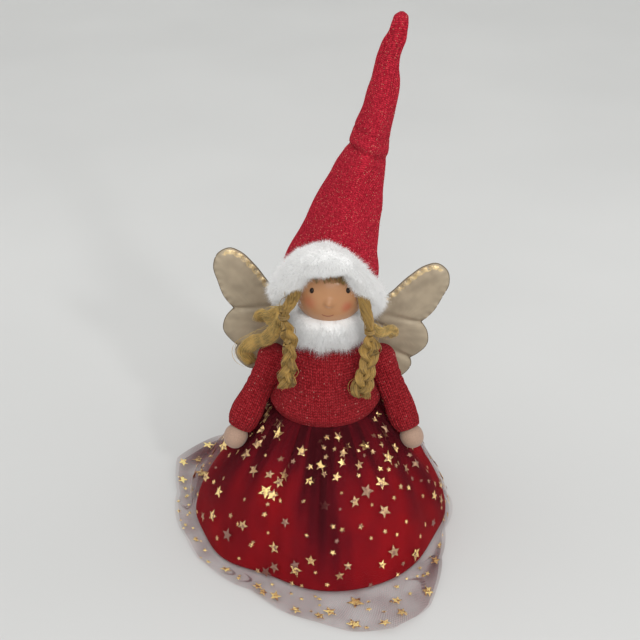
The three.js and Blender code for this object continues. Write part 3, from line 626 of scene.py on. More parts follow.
def hand_finish(colour):
    """Plain cloth with a fine weave."""
    made = Finish("soft hands", {"Roughness": 0.75, "Sheen Weight": 0.2})
    weave = made.noise(900.0, 2.0)
    made.bump(weave, 0.12)
    return made.colour(made.mix(made.step(weave, 0.3, 0.7), scaled(colour, 0.9), scaled(colour, 1.06)))


def bead_finish(colour):
    """A dark polished bead."""
    made = Finish("eye bead", {"Roughness": 0.3, "Specular IOR Level": 0.2, "Coat Weight": 0.06})
    made.put("Coat Roughness", 0.05)
    return made.colour(made.mix(made.noise(500.0, 2.0), scaled(colour, 0.6), scaled(colour, 1.5)))


def wing_finish(name, colour, gold):
    """Champagne leather with a satin sheen, faint rays painted lighter as highlights on folds, and a speckled stripe of
    foil near the edge, shinier and painted pale gold as its highlight.
    """
    made = Finish(name, {"Specular IOR Level": 0.4})
    grain = made.noise(420.0, 3.0)
    tone = made.mix(made.step(made.noise(70.0, 2.0), 0.3, 0.7), scaled(colour, 0.86), scaled(colour, 1.1))
    # painted highlights: lighter streaks along the folds that run out from the root
    tone = made.mix(made.times(made.value("ray"), 0.3), tone, scaled(colour, 1.35))
    speckled_foil_highlight = made.step(made.noise(430.0, 4.0, None, 0.7), 0.34, 0.56)
    speckled_foil_highlight = made.times(speckled_foil_highlight, made.step(made.value("foil"), 0.3, 0.9, 0.0, 0.9))
    made.put("Metallic", made.step(speckled_foil_highlight, 0.0, 1.0, 0.2, 0.6))
    made.put("Roughness", made.step(speckled_foil_highlight, 0.0, 1.0, 0.5, 0.28))
    made.bump(grain, 0.12)
    # painted highlight: pale gold where the speckled stripe runs along the padded ridge and the edge
    return made.colour(made.mix(speckled_foil_highlight, tone, gold))


def thread_finish(name, colour):
    """Spun thread with a fine ply."""
    made = Finish(name, {"Roughness": 0.75})
    ply = made.noise(1400.0, 2.0)
    made.bump(ply, 0.12)
    return made.colour(made.mix(ply, scaled(colour, 0.6), scaled(colour, 1.4)))


def floor_finish(colour):
    """Pale paint, painted lighter towards the back to even out the lamps' falloff and the doll's shadow behind it."""
    made = Finish("pale floor", {"Roughness": 0.9, "Specular IOR Level": 0.1})
    behind = made.parts(made.space())[1]
    # painted light: up to a fifth lighter behind the doll, where the lamps reach less and its shadow falls
    tone = made.mix(made.step(behind, -0.1, 0.35), colour, scaled(colour, 1.2))
    return made.colour(made.mix(made.noise(3.0, 2.0), tone, scaled(colour, 1.05)))


def cover(made, material, slot, *nodes):
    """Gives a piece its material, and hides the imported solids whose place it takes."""
    made.data.materials.append(material)
    if nodes:
        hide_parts(*nodes)
    return made


# Surfaces of the skirt

# The tulle's rim on the floor: degrees round, and distance from the middle line
RIM = np.array([
    [-180, 122], [-174, 121], [-157, 118], [-147, 119], [-133, 120], [-117, 120], [-107, 129], [-96, 139], [-82, 153],
    [-70, 162], [-62, 156], [-56, 149], [-50, 139], [-36, 119], [-18, 107], [0, 104], [30, 110], [60, 118], [100, 126],
    [120, 130], [133, 135], [144, 138], [154, 140], [164, 130], [172, 123], [180, 122],
])


def skirt_profile(turn, place, lift):
    """Radius and level of the skirt, raised square to its slope by lift.

    With s the share of the drop, radius = flare + width (1 - (1 - s)^1.5) + drift s^2 + folds s, and the
    level falls evenly. Above s = 0 the cloth draws in to the waist band.
    """
    degrees = np.degrees(turn)
    share = np.clip(place, 0, 1)
    drop, flare = FLARE_TOP - HEM_LIFT, HEM_RADIUS - FLARE_RADIUS
    slope = flare * 1.5 * np.sqrt(1 - share)
    steep = np.hypot(drop, slope)
    drift = HEM_RADIUS * humps(degrees, (0.085, -66, 19), (-0.03, -122, 16))
    swing = 1.9 * (np.cos(8 * turn) + np.cos(5 * turn + 1) / 2)
    gathers = 5.5 * np.sqrt(share) * (1 - share) * np.cos(14 * turn + 1.6 * np.sin(3 * turn) + 1.1 * np.sin(2 * turn))
    radius = FLARE_RADIUS + flare * (1 - (1 - share) ** 1.5) + drift * share**2 + swing * share + gathers
    radius = radius + lift * drop / steep
    level = FLARE_TOP - drop * share + lift * slope / steep
    rise = np.clip(-place / 0.1, 0, 1)
    radius = radius * (1 - ease(rise / 0.45)) + (WAIST_RADIUS + lift) * ease(rise / 0.45)
    return radius, level + (BAND_TOP - FLARE_TOP) * rise


# Bunched pleats of the tulle: degrees round, width, share of the drop where each ends, and strength
PLEATS = (
    (-88, 10, 0.92, 1.0), (-103, 4, 0.55, 0.8), (-114, 5, 0.42, 0.7), (-142, 6, 0.55, 0.9), (-155, 4, 0.7, 0.6),
    (-67, 6, 0.4, 0.8), (-54, 4, 0.55, 0.6), (-34, 6, 0.75, 0.7), (-18, 5, 0.9, 0.7), (200, 8, 0.8, 0.8),
    (60, 7, 0.6, 0.8), (110, 6, 0.5, 0.8), (150, 7, 0.7, 0.8), (20, 6, 0.6, 0.7), (85, 5, 0.4, 0.8),
)
# Creases of the tulle on the floor, drawn only as painted shade lines, in degrees round
CREASE_SHADES = (-142, -134, -64, -50, -32, 168)


def fine_pleats(turn):
    """The small gathers that run all round, from -1 to 1: cos(64 turn + 3 sin(2 turn))."""
    return np.cos(64 * turn + 3 * np.sin(2 * turn))


def gather_bands(turn, place):
    """Where the tulle is bunched into pleats, from 0 to 1; the net is also painted darker there as shade. Each pleat
    bows, widens and fades downwards.
    """
    degrees = np.degrees(turn)
    total = 0.7 * (1 - ease(place / 0.42))
    for centre, width, stop, strength in PLEATS:
        bowed = degrees + 3 * np.sin(place * 5 + centre)
        fade = 1 - ease((place - stop + 0.45) / 0.6)
        total = total + strength * turn_hump(bowed, centre, width * (0.7 + 0.6 * place)) * fade
    return np.clip(total * (0.86 + 0.14 * fine_pleats(turn)), 0, 1)


def net_gather_and_shade(turn, place):
    """How close the net is and how much shade is painted on it, from 0 to 1: the pleats, then painted crease shade and
    parts that lie double on the floor.
    """
    degrees = np.degrees(turn)
    # painted shade along creases on the floor, which the tulle's surface itself does not have
    crease = sum(turn_hump(degrees + 14 * np.sin(2.6 * place + 1), at, 0.35) for at in CREASE_SHADES)
    crease = 0.8 * crease * (place > 1) * ease((place - 1) * 3) * ease((1.8 - place) * 4)
    gather_and_shade = np.clip(gather_bands(turn, place) * (place < 1.2) + crease, 0, 1)
    doubled = 0.5 * turn_hump(degrees, 143, 11) * ease((place - 1.4) * 3)
    doubled = doubled + 0.4 * turn_hump(degrees, -38, 15) * ease((place - 1.3) * 3)
    return np.clip(gather_and_shade + doubled, 0, 1)


def upright(turn, radius, level):
    """Points from angles round the leaning middle line, radii and levels."""
    radius, level, turn = np.broadcast_arrays(radius, level, turn)
    return np.stack([LEAN * level + radius * np.cos(turn), radius * np.sin(turn), level], -1)


def tulle_surface(turn, place, over):
    """Tulle from the waist at -0.1 through the velvet's hem at 1 to the rim on the floor at 2.

    It follows the skirt with a lift, puffs out where it is loose, least beside the hands, then lies on the
    floor out to the rim. There it ripples by 0.9 (1 + cos(16 turn)) and some unevenness, times the share of
    the way out, and a few corners are lifted by the square of that share.
    """
    turn, place = np.broadcast_arrays(np.asarray(turn, float), np.asarray(place, float))
    degrees = np.degrees(turn)
    share, out = np.clip(place, 0, 1), np.clip(place - 1, 0, 1)
    lift = OVERLAY_LIFT if over else UNDERLAY_LIFT
    loose = humps(degrees, (1.4, -17, 24), (5, 190, 20), (4, 100, 40), (7, 168, 14))
    puff = loose * (1.0 if over else 0.55) * ease(share / 0.72) * (1 - 0.75 * ease((share - 0.72) / 0.28))
    pleat = 1.1 * gather_bands(turn, place) * (1 + fine_pleats(turn))
    beside_hands = 1 - 0.9 * np.maximum(turn_hump(degrees, -16, 15), turn_hump(degrees, -160, 15))
    uneven = (0.9 if over else 0.5) * (1 + waves(turn * 7, place * 3, 21))
    wander = beside_hands * uneven * share * (1 - share) * 3
    radius, level = skirt_profile(turn, place, lift)
    radius = radius + (puff + np.maximum(pleat + wander, 0)) * (place > 0)
    rest = 2.05 if over else 0.4
    rim = np.interp((degrees + 180) % 360 - 180, RIM[:, 0], RIM[:, 1])
    hem = skirt_profile(turn, 1.0, lift)[0] + 1.6
    width = np.maximum(rim - hem, 2.2)
    kept = out if over else out * np.maximum(1 - 3 / width, 0.4)
    corners = humps(degrees, (3.0, -68, 9), (2.5, 152, 10), (2.0, -38, 7))
    uneven = (1.6 if over else 0.5) * (1 + waves(turn * 9, out * 2, 5)) / 2
    ripple = kept * (0.9 * (1 + np.cos(16 * turn)) + uneven)
    floor_radius = hem + width * kept
    floor_level = rest + ripple + corners * kept**2 * (1.0 if over else 0.5)
    settle = ease((share - 0.9) / 0.1)
    radius = np.where(place > 1, floor_radius, radius + settle * (hem - radius))
    level = np.where(place > 1, floor_level, level + settle * (rest - level))
    return upright(turn, radius, level)


def turns_round(count):
    """Angles round the piece from its back, so that seams lie behind."""
    return math.pi / 2 + np.arange(count) * TAU / count


def make_hidden_parts():
    """Finishes of the card cone, its cap and the stick, which keep their imported shapes."""
    card, wood = card_finish(), wood_finish()
    for name, material in (("tree_cone", card), ("cone_cap", wood), ("neck_dowel", wood)):
        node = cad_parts[name]
        node.data.materials.clear()
        node.data.materials.append(material)


def make_velvet(sizes):
    """The velvet skirt: the skirt's surface with a thickness, turned in at hem and waist."""
    rows = 72
    turn = turns_round(360)[None, :]
    share, side = lapped(rows, 0.006)
    radius, level = skirt_profile(turn, -0.1 + 1.1 * share, VELVET_LIFT + VELVET_HALF * side)
    grid = upright(turn, radius, level)
    made = skin("velvet_skirt", grid, loop_rows=True)
    cover(made, velvet_finish(sizes.velvet_colour), "velvet", "velvet_skirt")
    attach(made, "doll")


def make_tulle(sizes):
    """Two sheer layers over the velvet, each a single wall of net with its map in millimetres."""
    columns = 600
    turn = turns_round(columns)[None, :]
    place = np.concatenate([np.linspace(-0.1, 1, 84), np.linspace(1, 2, 18)[1:]])[:, None]
    for name, over in (("tulle_underlayer", False), ("tulle_overlayer", True)):
        grid = tulle_surface(turn, place, over)
        uv = cloth_map(np.linspace(0, TAU * 100, columns + 1)[None, :], run_down(grid))
        made = skin(name, grid, uv, {"gather_and_shade": net_gather_and_shade(turn, place)}, caps=False)
        finish = tulle_finish("red tulle over" if over else "red tulle under", sizes.tulle_colour, sizes.tulle_opacity)
        cover(made, finish, "tulle", name)
        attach(made, "doll")


SLOPE_STEP = 0.004  # a small step round or down the tulle, for its slopes
STAR_CORNERS = 10


def star_places(rng, wanted, over):
    """Places for stars that keep apart from one another and off the fold at the floor.

    Gives their shares down the tulle, turns, sizes and distances from the middle line, each as a column.
    Far more are tried than wanted. Stars may lie closer together near the waist.
    """
    tried = wanted * 8
    place = 0.02 + 1.9 * rng.random(tried) ** 1.15
    turn = rng.random(tried) * TAU
    spot = tulle_surface(turn, place, over)
    radius = np.hypot(spot[:, 0] - LEAN * spot[:, 2], spot[:, 1])
    large = rng.random(tried) < 0.5
    size = np.where(large, rng.uniform(3.6, 6.0, tried), rng.uniform(1.5, 2.7, tried))
    pace = np.linalg.norm(tulle_surface(turn, place + SLOPE_STEP, over) - spot, axis=-1) / SLOPE_STEP
    size = np.where((place > 1) & (size > 3), size * 1.15, size)
    reach = size / np.maximum(pace, 1)
    start, stop, waist_side = 1.04, 1.96, 0.97
    flat_on_floor = (place > 1) & (start + reach < stop - reach)
    place = np.where(place > 1, np.clip(place, start + reach, stop - reach), np.minimum(place, waist_side - reach))
    place = np.where(flat_on_floor | (place < waist_side), place, 0.5 * (place - 0.9))
    spot = tulle_surface(turn, place, over)
    near = np.where(place < 0.45, 0.55, 1.0)
    keep = []
    for i in range(tried):
        if len(keep) >= wanted:
            break
        others = np.array(keep, int)
        room = (size[others] + size[i]) * 1.25 * near[i] + 2.5
        if not keep or (np.linalg.norm(spot[others] - spot[i], axis=1) > room).all():
            keep.append(i)
    return [values[keep, None] for values in (place, turn, size, radius)]


def star_points(rng, place, turn, size, radius, over):
    """Points of each star: its raised middle and its corners on top, then the same underneath."""
    count = len(place)
    lean = rng.uniform(0, TAU, (count, 1))
    arm = np.where(np.arange(STAR_CORNERS) % 2 == 0, 1.0, 0.46)
    reach = size * arm * rng.uniform(0.88, 1.08, (count, STAR_CORNERS))
    middle = np.zeros((count, 1))
    reach = np.concatenate([middle, reach], 1)
    angle = np.concatenate([middle, (np.arange(STAR_CORNERS) * TAU / STAR_CORNERS)[None, :] + lean], 1)
    pace = tulle_surface(turn, place + SLOPE_STEP, over) - tulle_surface(turn, place, over)
    pace = np.linalg.norm(pace, axis=-1) / SLOPE_STEP
    turns = turn + reach * np.cos(angle) / radius
    places = np.clip(place + reach * np.sin(angle) / np.maximum(pace, 20), 0.0, 1.99)
    flat = tulle_surface(turns, places, over)
    beside = tulle_surface(turns + SLOPE_STEP, places, over) - flat
    below = tulle_surface(turns, places + SLOPE_STEP, over) - flat
    square = unit(np.cross(below, beside))
    square = square * np.sign((square * (flat + [0, 0, 200])).sum(-1, keepdims=True))
    square = unit(square.mean(1, keepdims=True))
    raised = np.concatenate([np.full((count, 1), 0.75), rng.uniform(0.3, 0.7, (count, STAR_CORNERS))], 1)
    top = flat + square * raised[..., None]
    return np.concatenate([top, top - square * 0.18], 1)


def make_stars(sizes):
    """Foil stars on the tulle: five-pointed, slightly domed, each corner set on the cloth's own surface."""
    rng = np.random.default_rng(12)
    i = np.arange(STAR_CORNERS)
    on = (i + 1) % STAR_CORNERS
    each = 2 * (STAR_CORNERS + 1)
    under = STAR_CORNERS + 2
    fan = np.stack([np.zeros(STAR_CORNERS, int), 1 + i, 1 + on], 1)
    sides = [np.stack([1 + i, under + i, under + on], 1), np.stack([1 + i, under + on, 1 + on], 1)]
    star = np.concatenate([fan, fan[:, ::-1] + STAR_CORNERS + 1, *sides])
    for name, over in (("foil_stars_under", False), ("foil_stars_over", True)):
        place, turn, size, radius = star_places(rng, sizes.star_count if over else sizes.star_count // 3, over)
        points = star_points(rng, place, turn, size, radius, over).reshape(-1, 3)
        faces = (star[None] + (np.arange(len(place)) * each)[:, None, None]).reshape(-1, 3)
        if not outward(points[:each], [faces[: len(star)]]):
            faces = faces[:, ::-1]
        # painted light and shade for each star: random, and brighter for stars lying flat on the floor, which face the
        # light
        star_light_and_shade = rng.uniform(0, 1, len(place)) ** 0.8 + 0.8 * (place[:, 0] > 1)
        values = {"star_light_and_shade": np.repeat(np.clip(star_light_and_shade, 0, 1), each)}
        made = mesh_object(name, points, [faces], None, values, smooth_faces=False)
        cover(made, star_finish("gold foil" if over else "gold foil under net", sizes.star_colour), "tulle")
        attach(made, "doll")


# Sweater, sleeves and hands

# Share of the sweater's height, and half its width and depth as shares of its radius
SWEATER = [
    [0, 0.962, 0.955], [0.05, 0.98, 0.975], [0.13, 0.985, 0.975], [0.25, 0.89, 0.965], [0.38, 0.775, 0.92],
    [0.5, 0.76, 0.86], [0.62, 0.74, 0.78], [0.73, 0.66, 0.69], [0.82, 0.56, 0.575], [0.91, 0.45, 0.46],
    [1, 0.36, 0.37],
]
# Radius and level of the sweater's inside, down over the filling and the gathered waist
SWEATER_INSIDE = ((30.0, BODY_BASE), (34.2, 109.0), (34.2, 117.0), (38.5, 117.5))
# Share of the arm's length, and how full the sleeve is there
SLEEVE = [[0, 1], [0.25, 0.4], [0.55, 0.4], [0.82, 0.7], [0.93, 0.55], [1, 0.05]]
# Share of a hand's length, and share of its radius
HAND = [[0, 0.72], [0.14, 0.74], [0.32, 0.96], [0.55, 1], [0.75, 0.88], [0.9, 0.62], [0.97, 0.36], [1, 0.12]]
# Bright threads: cells in a stitch, the share of cells without a fleck, and the colour
SWEATER_GLITTER = (1.5, 0.84, shade(205, 130, 120))
HAT_GLITTER = (1.7, 0.62, shade(225, 150, 128))


def make_sweater(sizes):
    """The knitted body: ovals up the leaning middle line, with soft dents, a rolled hem and its filling inside."""
    turn = turns_round(360)[None, :]
    share = np.linspace(0, 1, 90)[:, None]
    dents = 0.9 * waves(turn * 3.2 + np.sin(turn), share * 7, 3) + 0.35 * waves(turn * 9, share * 20, 4)
    roll = 1.2 * hump(share, 0.06, 0.07)
    ribs = 0.26 * np.cos(76 * turn + 0.8 * np.sin(share * 9 + turn)) * ease(share * 8)
    wide, deep = [SWEATER_RADIUS * part + roll * ease(share * 6 + 0.3) + dents * ease(share * 6) + ribs
                  for part in smooth(SWEATER, share)]

    def ring(half_width, half_depth, level):
        """Oval rings round the leaning middle line."""
        level = level + 0 * turn
        return np.stack([LEAN * level + half_width * np.cos(turn), half_depth * np.sin(turn), level], -1)

    body = ring(wide, deep, SWEATER_HEM + (SWEATER_TOP - SWEATER_HEM) * share)
    rolled = [ring(wide[0] - inward, deep[0] - inward, SWEATER_HEM - dip)
              for inward, dip in ((1.9, 0.0), (1.6, 0.55), (0.9, 0.9), (0.25, 0.55))]
    inside = [ring(radius, radius, level) for radius, level in SWEATER_INSIDE]
    grid = np.concatenate(inside + rolled + [body])
    uv = cloth_map(arc_lengths(grid, 180) / sizes.stitch_width, run_down(grid) / sizes.stitch_height)
    made = skin("sweater_body", grid, uv)
    finish = knit_finish("sweater knit", sizes.sweater_colour, SWEATER_GLITTER, 1.1)
    cover(made, finish, "knit", "sweater_body", "torso_stuffing")
    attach(made, "doll")
    lint_on("sweater_lint", body, sizes.lint_count, np.random.default_rng(31), sizes.sweater_colour, "doll")


def make_elastic():
    """The elastic round the gathered waist: a flat band with small puckers."""
    turn, band = turns_round(360)[None, :], circle(24)[:, None]
    radius = WAIST_RADIUS + OVERLAY_LIFT + 1.45 + 0.5 + 0.5 * np.cos(band) + 0.12 * np.cos(90 * turn)
    made = skin("waist_elastic", upright(turn, radius, BAND_BOTTOM + 3 + 1.95 * np.sin(band)), loop_rows=True)
    cover(made, thread_finish("gathered elastic", shade(225, 220, 210)), "elastic", "waist_elastic")
    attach(made, "doll")


def lint_on(name, grid, count, rng, colour, body, blended=None):
    """Short curly fibres that stand off the knitting."""
    roots, square = scatter(grid, count, rng)
    heading = unit(square * 0.6 + rng.normal(size=(count, 3)) * 0.5)
    bend = rng.normal(size=(count, 3)) * 0.45 - square * 0.25
    made = fibres(name, roots - square * 0.1, heading, rng.uniform(0.7, 1.7, count), 0.12, bend)
    cover(made, lint_finish(name.replace("_", " "), colour), "knit")
    if blended:
        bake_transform(made)
    else:
        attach(made, body)


def arm_line(side, share):
    """Places along an arm from its joint, and the direction of the arm."""
    reach = np.array([SIDES[side] * ARM_OUTWARD - LEAN * ARM_DROP, -ARM_FORWARD, -ARM_DROP])
    return shoulder(side) + np.asarray(share)[..., None] * reach, unit(reach)


def arm_ring(side, share, radius, turn):
    """Ring round an arm, square to it, from the angle whose zero faces away from the body."""
    centre, along = arm_line(side, share)
    through = unit(np.array([0, 1.0, 0]) - along[1] * along)
    across = np.cross(along, through)
    return centre + radius[..., None] * (across * np.cos(turn)[..., None] + through * np.sin(turn)[..., None])


def make_sleeves(sizes):
    """Knitted sleeves: rings square to the arm's line whose radius follows a smooth table, with a rolled cuff."""
    columns = 168
    turn = turns_round(columns)[None, :]
    share = np.linspace(0, 1, 80)[:, None]
    for number, side in enumerate(SIDES):
        radius = 9.5 + 3.0 * smooth(SLEEVE, share)[0]
        dents = 0.55 * waves(turn * 1.5 + np.cos(turn), share * 9, 40 + number)
        dents = dents + 0.3 * np.sin(share * 55) * hump(share, 0.3, 0.2)
        ribs = 0.28 * np.cos(24 * turn + np.sin(share * 7)) * ease(share * 5)
        radius = radius + dents * ease(share * 5 + 0.2) + ribs
        outer = arm_ring(side, share + 0 * turn, radius, turn + 0 * share)
        back = np.linspace(0.98, 0.15, 9)[:, None]
        dome_radius = SHOULDER_DOME * np.sqrt(1 - back**2) + 0 * turn
        dome = arm_ring(side, -back * SHOULDER_DOME / ARM_LENGTH + 0 * turn, dome_radius, turn + 0 * back)
        cuff = [arm_ring(side, np.full((1, columns), 1 + out / ARM_LENGTH), radius[-1:] - inward, turn)
                for inward, out in ((0.15, 0.5), (0.8, 0.9), (1.5, 0.6), (1.9, 0.0), (2.0, -2.5), (2.6, -4.5))]
        grid = np.concatenate([dome, outer] + cuff)
        stitches = np.round(TAU * 11.5 / sizes.stitch_width)
        uv = cloth_map(np.linspace(0, stitches, columns + 1)[None, :], run_down(grid) / sizes.stitch_height)
        made = skin(f"sleeve_{side}", grid, uv)
        finish = knit_finish(f"{side} sleeve knit", sizes.sweater_colour, SWEATER_GLITTER, 1.1)
        cover(made, finish, "knit", f"sleeve_{side}", f"arm_core_{side}")
        start, stop = [arm_line(side, np.array(at))[0] * MM for at in (-0.05, 0.16)]
        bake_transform(made)
        rng, blend = np.random.default_rng(50 + number), ("doll", f"arm_{side}", tuple(start), tuple(stop))
        lint_on(f"sleeve_lint_{side}", outer, sizes.lint_count // 3, rng, sizes.sweater_colour, None, blend)


def make_hands(sizes):
    """Round hands: rings along the arm's line, narrow in the cuff and full outside it."""
    turn = turns_round(64)[None, :]
    share = (1 - np.cos(np.linspace(0, math.pi, 44)))[:, None] / 2
    for number, side in enumerate(SIDES):
        radius = 9.2 * smooth(HAND, share)[0] + 0 * turn
        radius = radius * (1 + 0.025 * waves(turn + 0 * share, share * 3, 60 + number))
        along = 0.97 + CLEARANCE / ARM_LENGTH + share * 20 / ARM_LENGTH + 0 * turn
        made = skin(f"hand_{side}", arm_ring(side, along, radius, turn + 0 * share))
        cover(made, hand_finish(sizes.hand_colour), "hand_skin", f"hand_{side}")
        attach(made, f"arm_{side}")


# Head, hair and hat


def ball_about(centre, polar, turn, radius):
    """Points on a ball whose first pole faces the front: polar from the front, turn round it."""
    out = np.sin(polar)
    return centre + radius[..., None] * np.stack(
        np.broadcast_arrays(out * np.cos(turn), -np.cos(polar), out * np.sin(turn)), -1)


def make_head(sizes):
    """The head: a ball with a soft nose, radius = head + 3 exp(-(distance from the front / 3.2)^2), and its eyes."""
    polar = np.radians(np.concatenate([np.linspace(0.6, 14, 22), np.linspace(16, 179, 74)]))[:, None]
    turn = circle(128)[None, :]
    away = HEAD_RADIUS * polar
    low = 1 - 0.12 * np.sin(turn) * hump(away, 2.5, 2.5)
    radius = HEAD_RADIUS + 3.0 * hump(away * low, 0, 3.2)
    grid = ball_about(HEAD, polar, turn, radius + 0 * turn)
    grid[..., 0] -= 1.1 * hump(away, 0, 5)
    made = skin("head_ball", grid)
    cover(made, face_finish(sizes.skin_colour, sizes.blush_colour, shade(120, 55, 38)), "painted_skin", "head_ball")
    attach(made, "doll")
    polar, turn = np.linspace(0.05, math.pi - 0.05, 24)[:, None], circle(32)[None, :]
    ball = np.stack([np.cos(polar) + 0 * turn, np.sin(polar) * np.cos(turn), np.sin(polar) * np.sin(turn)], -1)
    for side, sign in SIDES.items():
        x, up = sign * 13.4, 8.5
        centre = HEAD + [x, -math.sqrt(HEAD_RADIUS**2 - x * x - up * up), up]
        out = unit(centre - HEAD)
        across = unit(np.cross(out, [0, 0, 1.0]))
        axes = np.stack([1.5 * out, 1.65 * across, 2.15 * np.cross(across, out)])
        made = skin(f"eye_{side}", centre + ball @ axes)
        cover(made, bead_finish(shade(30, 19, 13)), "bead", f"eye_{side}")
        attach(made, "doll")


def curve_through(points, steps):
    """Places along a smooth curve through points, evenly by share of length."""
    points = np.asarray(points, float)
    run = np.concatenate([[0], np.cumsum(np.linalg.norm(np.diff(points, axis=0), axis=1))])
    table = np.column_stack([run / run[-1], points])
    return np.moveaxis(smooth(table, np.linspace(0, 1, steps)), 0, -1)


def strand_bundle(name, line, half_width, half_depth, facing, count, twist, rng, body, sizes,
                  thickness=0.3, stray=0.05, replaced=(), centres=((0.0, 0.0, 1.0),), wobble=0.5, tint=None):
    """Strands twisted along a line.

    Each strand has a place (a, b) in a round section. It turns by twist along the share s, so that the
    strand's middle is line + width a' across + depth b' through, with a small sine wobble of its own. Ropes
    that are plaited have centres of their own, at 0.56 sin p across and 0.45 sin 2p through, with p on the way.
    """
    share = np.linspace(0, 1, len(line))
    along = unit(np.gradient(line, axis=0))
    through = unit(facing - (along @ facing)[:, None] * along)
    across = np.cross(along, through)
    plaited = len(centres) > 1
    middles = np.array(centres)[rng.integers(len(centres), size=count)]
    angle, reach = rng.uniform(0, TAU, count), np.sqrt(rng.random(count))
    loose = rng.random(count) < stray
    reach = middles[:, 2] * np.where(loose, reach + rng.uniform(0.3, 0.9, count), reach)
    own = angle[:, None] + (twist * 0.7 if plaited else twist) * share * TAU
    first, second = reach[:, None] * np.cos(own), reach[:, None] * np.sin(own)
    if plaited:
        phase = np.arctan2(middles[:, 1:2], middles[:, 0:1]) + twist * 2 * share[None] * TAU
        first, second = first + 0.56 * np.sin(phase), second + 0.45 * np.sin(2 * phase)
    pace, phase = rng.uniform(3, 9, (count, 1)), rng.uniform(0, TAU, (count, 1))
    shake = wobble * np.where(loose, 2.2, 1.0)[:, None] * np.sin(pace * share * TAU / 2 + phase)
    beside, before = first * half_width + shake, second * half_depth + shake * 0.6
    centre = line[None] + beside[..., None] * across + before[..., None] * through
    radii = thickness * rng.uniform(0.6, 1.25, (count, 1)) * (1 - 0.7 * ease((share[None] - 0.88) / 0.12))
    made = tubes(name, centre, radii, 4, {"strand": rng.random(count)})
    cover(made, hair_finish(name.replace("_", " "), tint or sizes.hair_colour), "hair", *replaced)
    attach(made, body)


# Swept strands: places from the tie, outward, back and up, in head radii
UPPER_STRAND = [[-0.03, 0.12, 0.38], [0.14, 0.36, 0.14], [0.38, 0.65, -0.2], [0.62, 1, -0.38], [0.66, 1.25, -0.65]]
LOWER_STRAND = [[0.1, 0.22, 0.2], [0.2, 0.42, -0.3], [0.5, 0.8, -0.92], [0.9, 1.25, -1.35], [1.15, 1.5, -1.8],
                [0.95, 1.6, -2.2]]
LEFT_STRAND = [[0.1, 0.18, 0.25], [0.28, 0.38, -0.05], [0.42, 0.72, -0.22], [0.62, 1.12, -0.45], [0.76, 1.5, -0.8]]
# Name, side, places, half width and share of the strands of two locks
SWEPT = (("right_upper", "right", UPPER_STRAND, 6.5, 0.55), ("right_lower", "right", LOWER_STRAND, 6.0, 0.75),
         ("left", "left", LEFT_STRAND, 5.0, 0.5))
# Share of the length, and width there
LOCK_WIDTH = [[0, 3.2], [0.3, 4.2], [0.6, 4.0], [0.85, 2.6], [1, 2.3]]
BRAID_WIDTH = [[0, 0.26], [0.07, 0.58], [0.2, 0.9], [0.42, 0.76], [0.8, 1.0], [1, 1.05]]
SWEPT_WIDTH = [[0, 0.35], [0.2, 0.8], [0.5, 1], [0.85, 0.95], [1, 0.8]]


def widths(table, steps):
    """A table of widths read at even shares."""
    return smooth(table, np.linspace(0, 1, steps))[0]


def make_hair(sizes):
    """Hair from under the brim to the ties, the ties, the twisted ends, the swept strands and the fringe."""
    facing = np.array([0, 1.0, 0])
    ropes = [(math.cos(t), math.sin(t), 0.4) for t in (0.3, 0.3 + TAU / 3, 0.3 + 2 * TAU / 3)]
    for number, (side, sign) in enumerate(SIDES.items()):
        rng = np.random.default_rng(70 + number)
        tie = tie_point(side)
        start = HEAD + HEAD_RADIUS * np.array([sign * 0.8, -0.6, 0.34])
        foot = tie + [0, 0, NECK_WIDTH + CLEARANCE]
        top = foot + [0, 0, 4.4]
        line = curve_through([start, (start + top) / 2 - [0, 0.05 * HEAD_RADIUS, 0], top, foot], 26)
        wide = widths(LOCK_WIDTH, 26)
        # the side locks are painted a little darker than the rest of the hair, partly as shade under the brim
        strand_bundle(f"side_lock_{side}", line, wide, wide * 0.8, facing, sizes.hair_count, 0.5, rng, "doll", sizes,
                      stray=0.01, replaced=(f"side_lock_{side}",), wobble=0.35, tint=scaled(sizes.hair_colour, 0.88))
        make_tie(side, foot, sizes)
        bends = [tie + [out * sign * NECK_WIDTH, -forward * NECK_WIDTH, -down * BRAID_LENGTH[side]]
                 for out, forward, down in BRAID_SWAY[side]]
        line = curve_through([tie + [0, 0, 0.64 * NECK_WIDTH]] + bends, 44)
        wide = widths(BRAID_WIDTH, 44)
        strand_bundle(f"braid_{side}", line, (6.9 if sign < 0 else 8.8) * wide, 6.0 * wide, facing,
                      int(sizes.hair_count * 1.5), 0.78 * sign, rng, f"braid_{side}", sizes,
                      thickness=0.33, stray=0.025, replaced=(f"braid_{side}",), centres=ropes, wobble=0.35)
    for number, (name, side, table, wide, share) in enumerate(SWEPT):
        rng = np.random.default_rng(80 + number)
        route = [tie_point(side) + HEAD_RADIUS * np.array([SIDES[side] * x, y, z]) for x, y, z in table]
        width = wide * widths(SWEPT_WIDTH, 40)
        strand_bundle(f"swept_strand_{name}", curve_through(route, 40), width, 2.0 + 0 * width,
                      np.array([0, -1, 0.2]), int(sizes.hair_count * share * 2), 0.2, rng, "doll", sizes,
                      thickness=0.14, stray=0.02, replaced=(f"swept_strand_{name}",), wobble=0.7,
                      tint=shade(196, 164, 92))
    make_fringe(sizes)


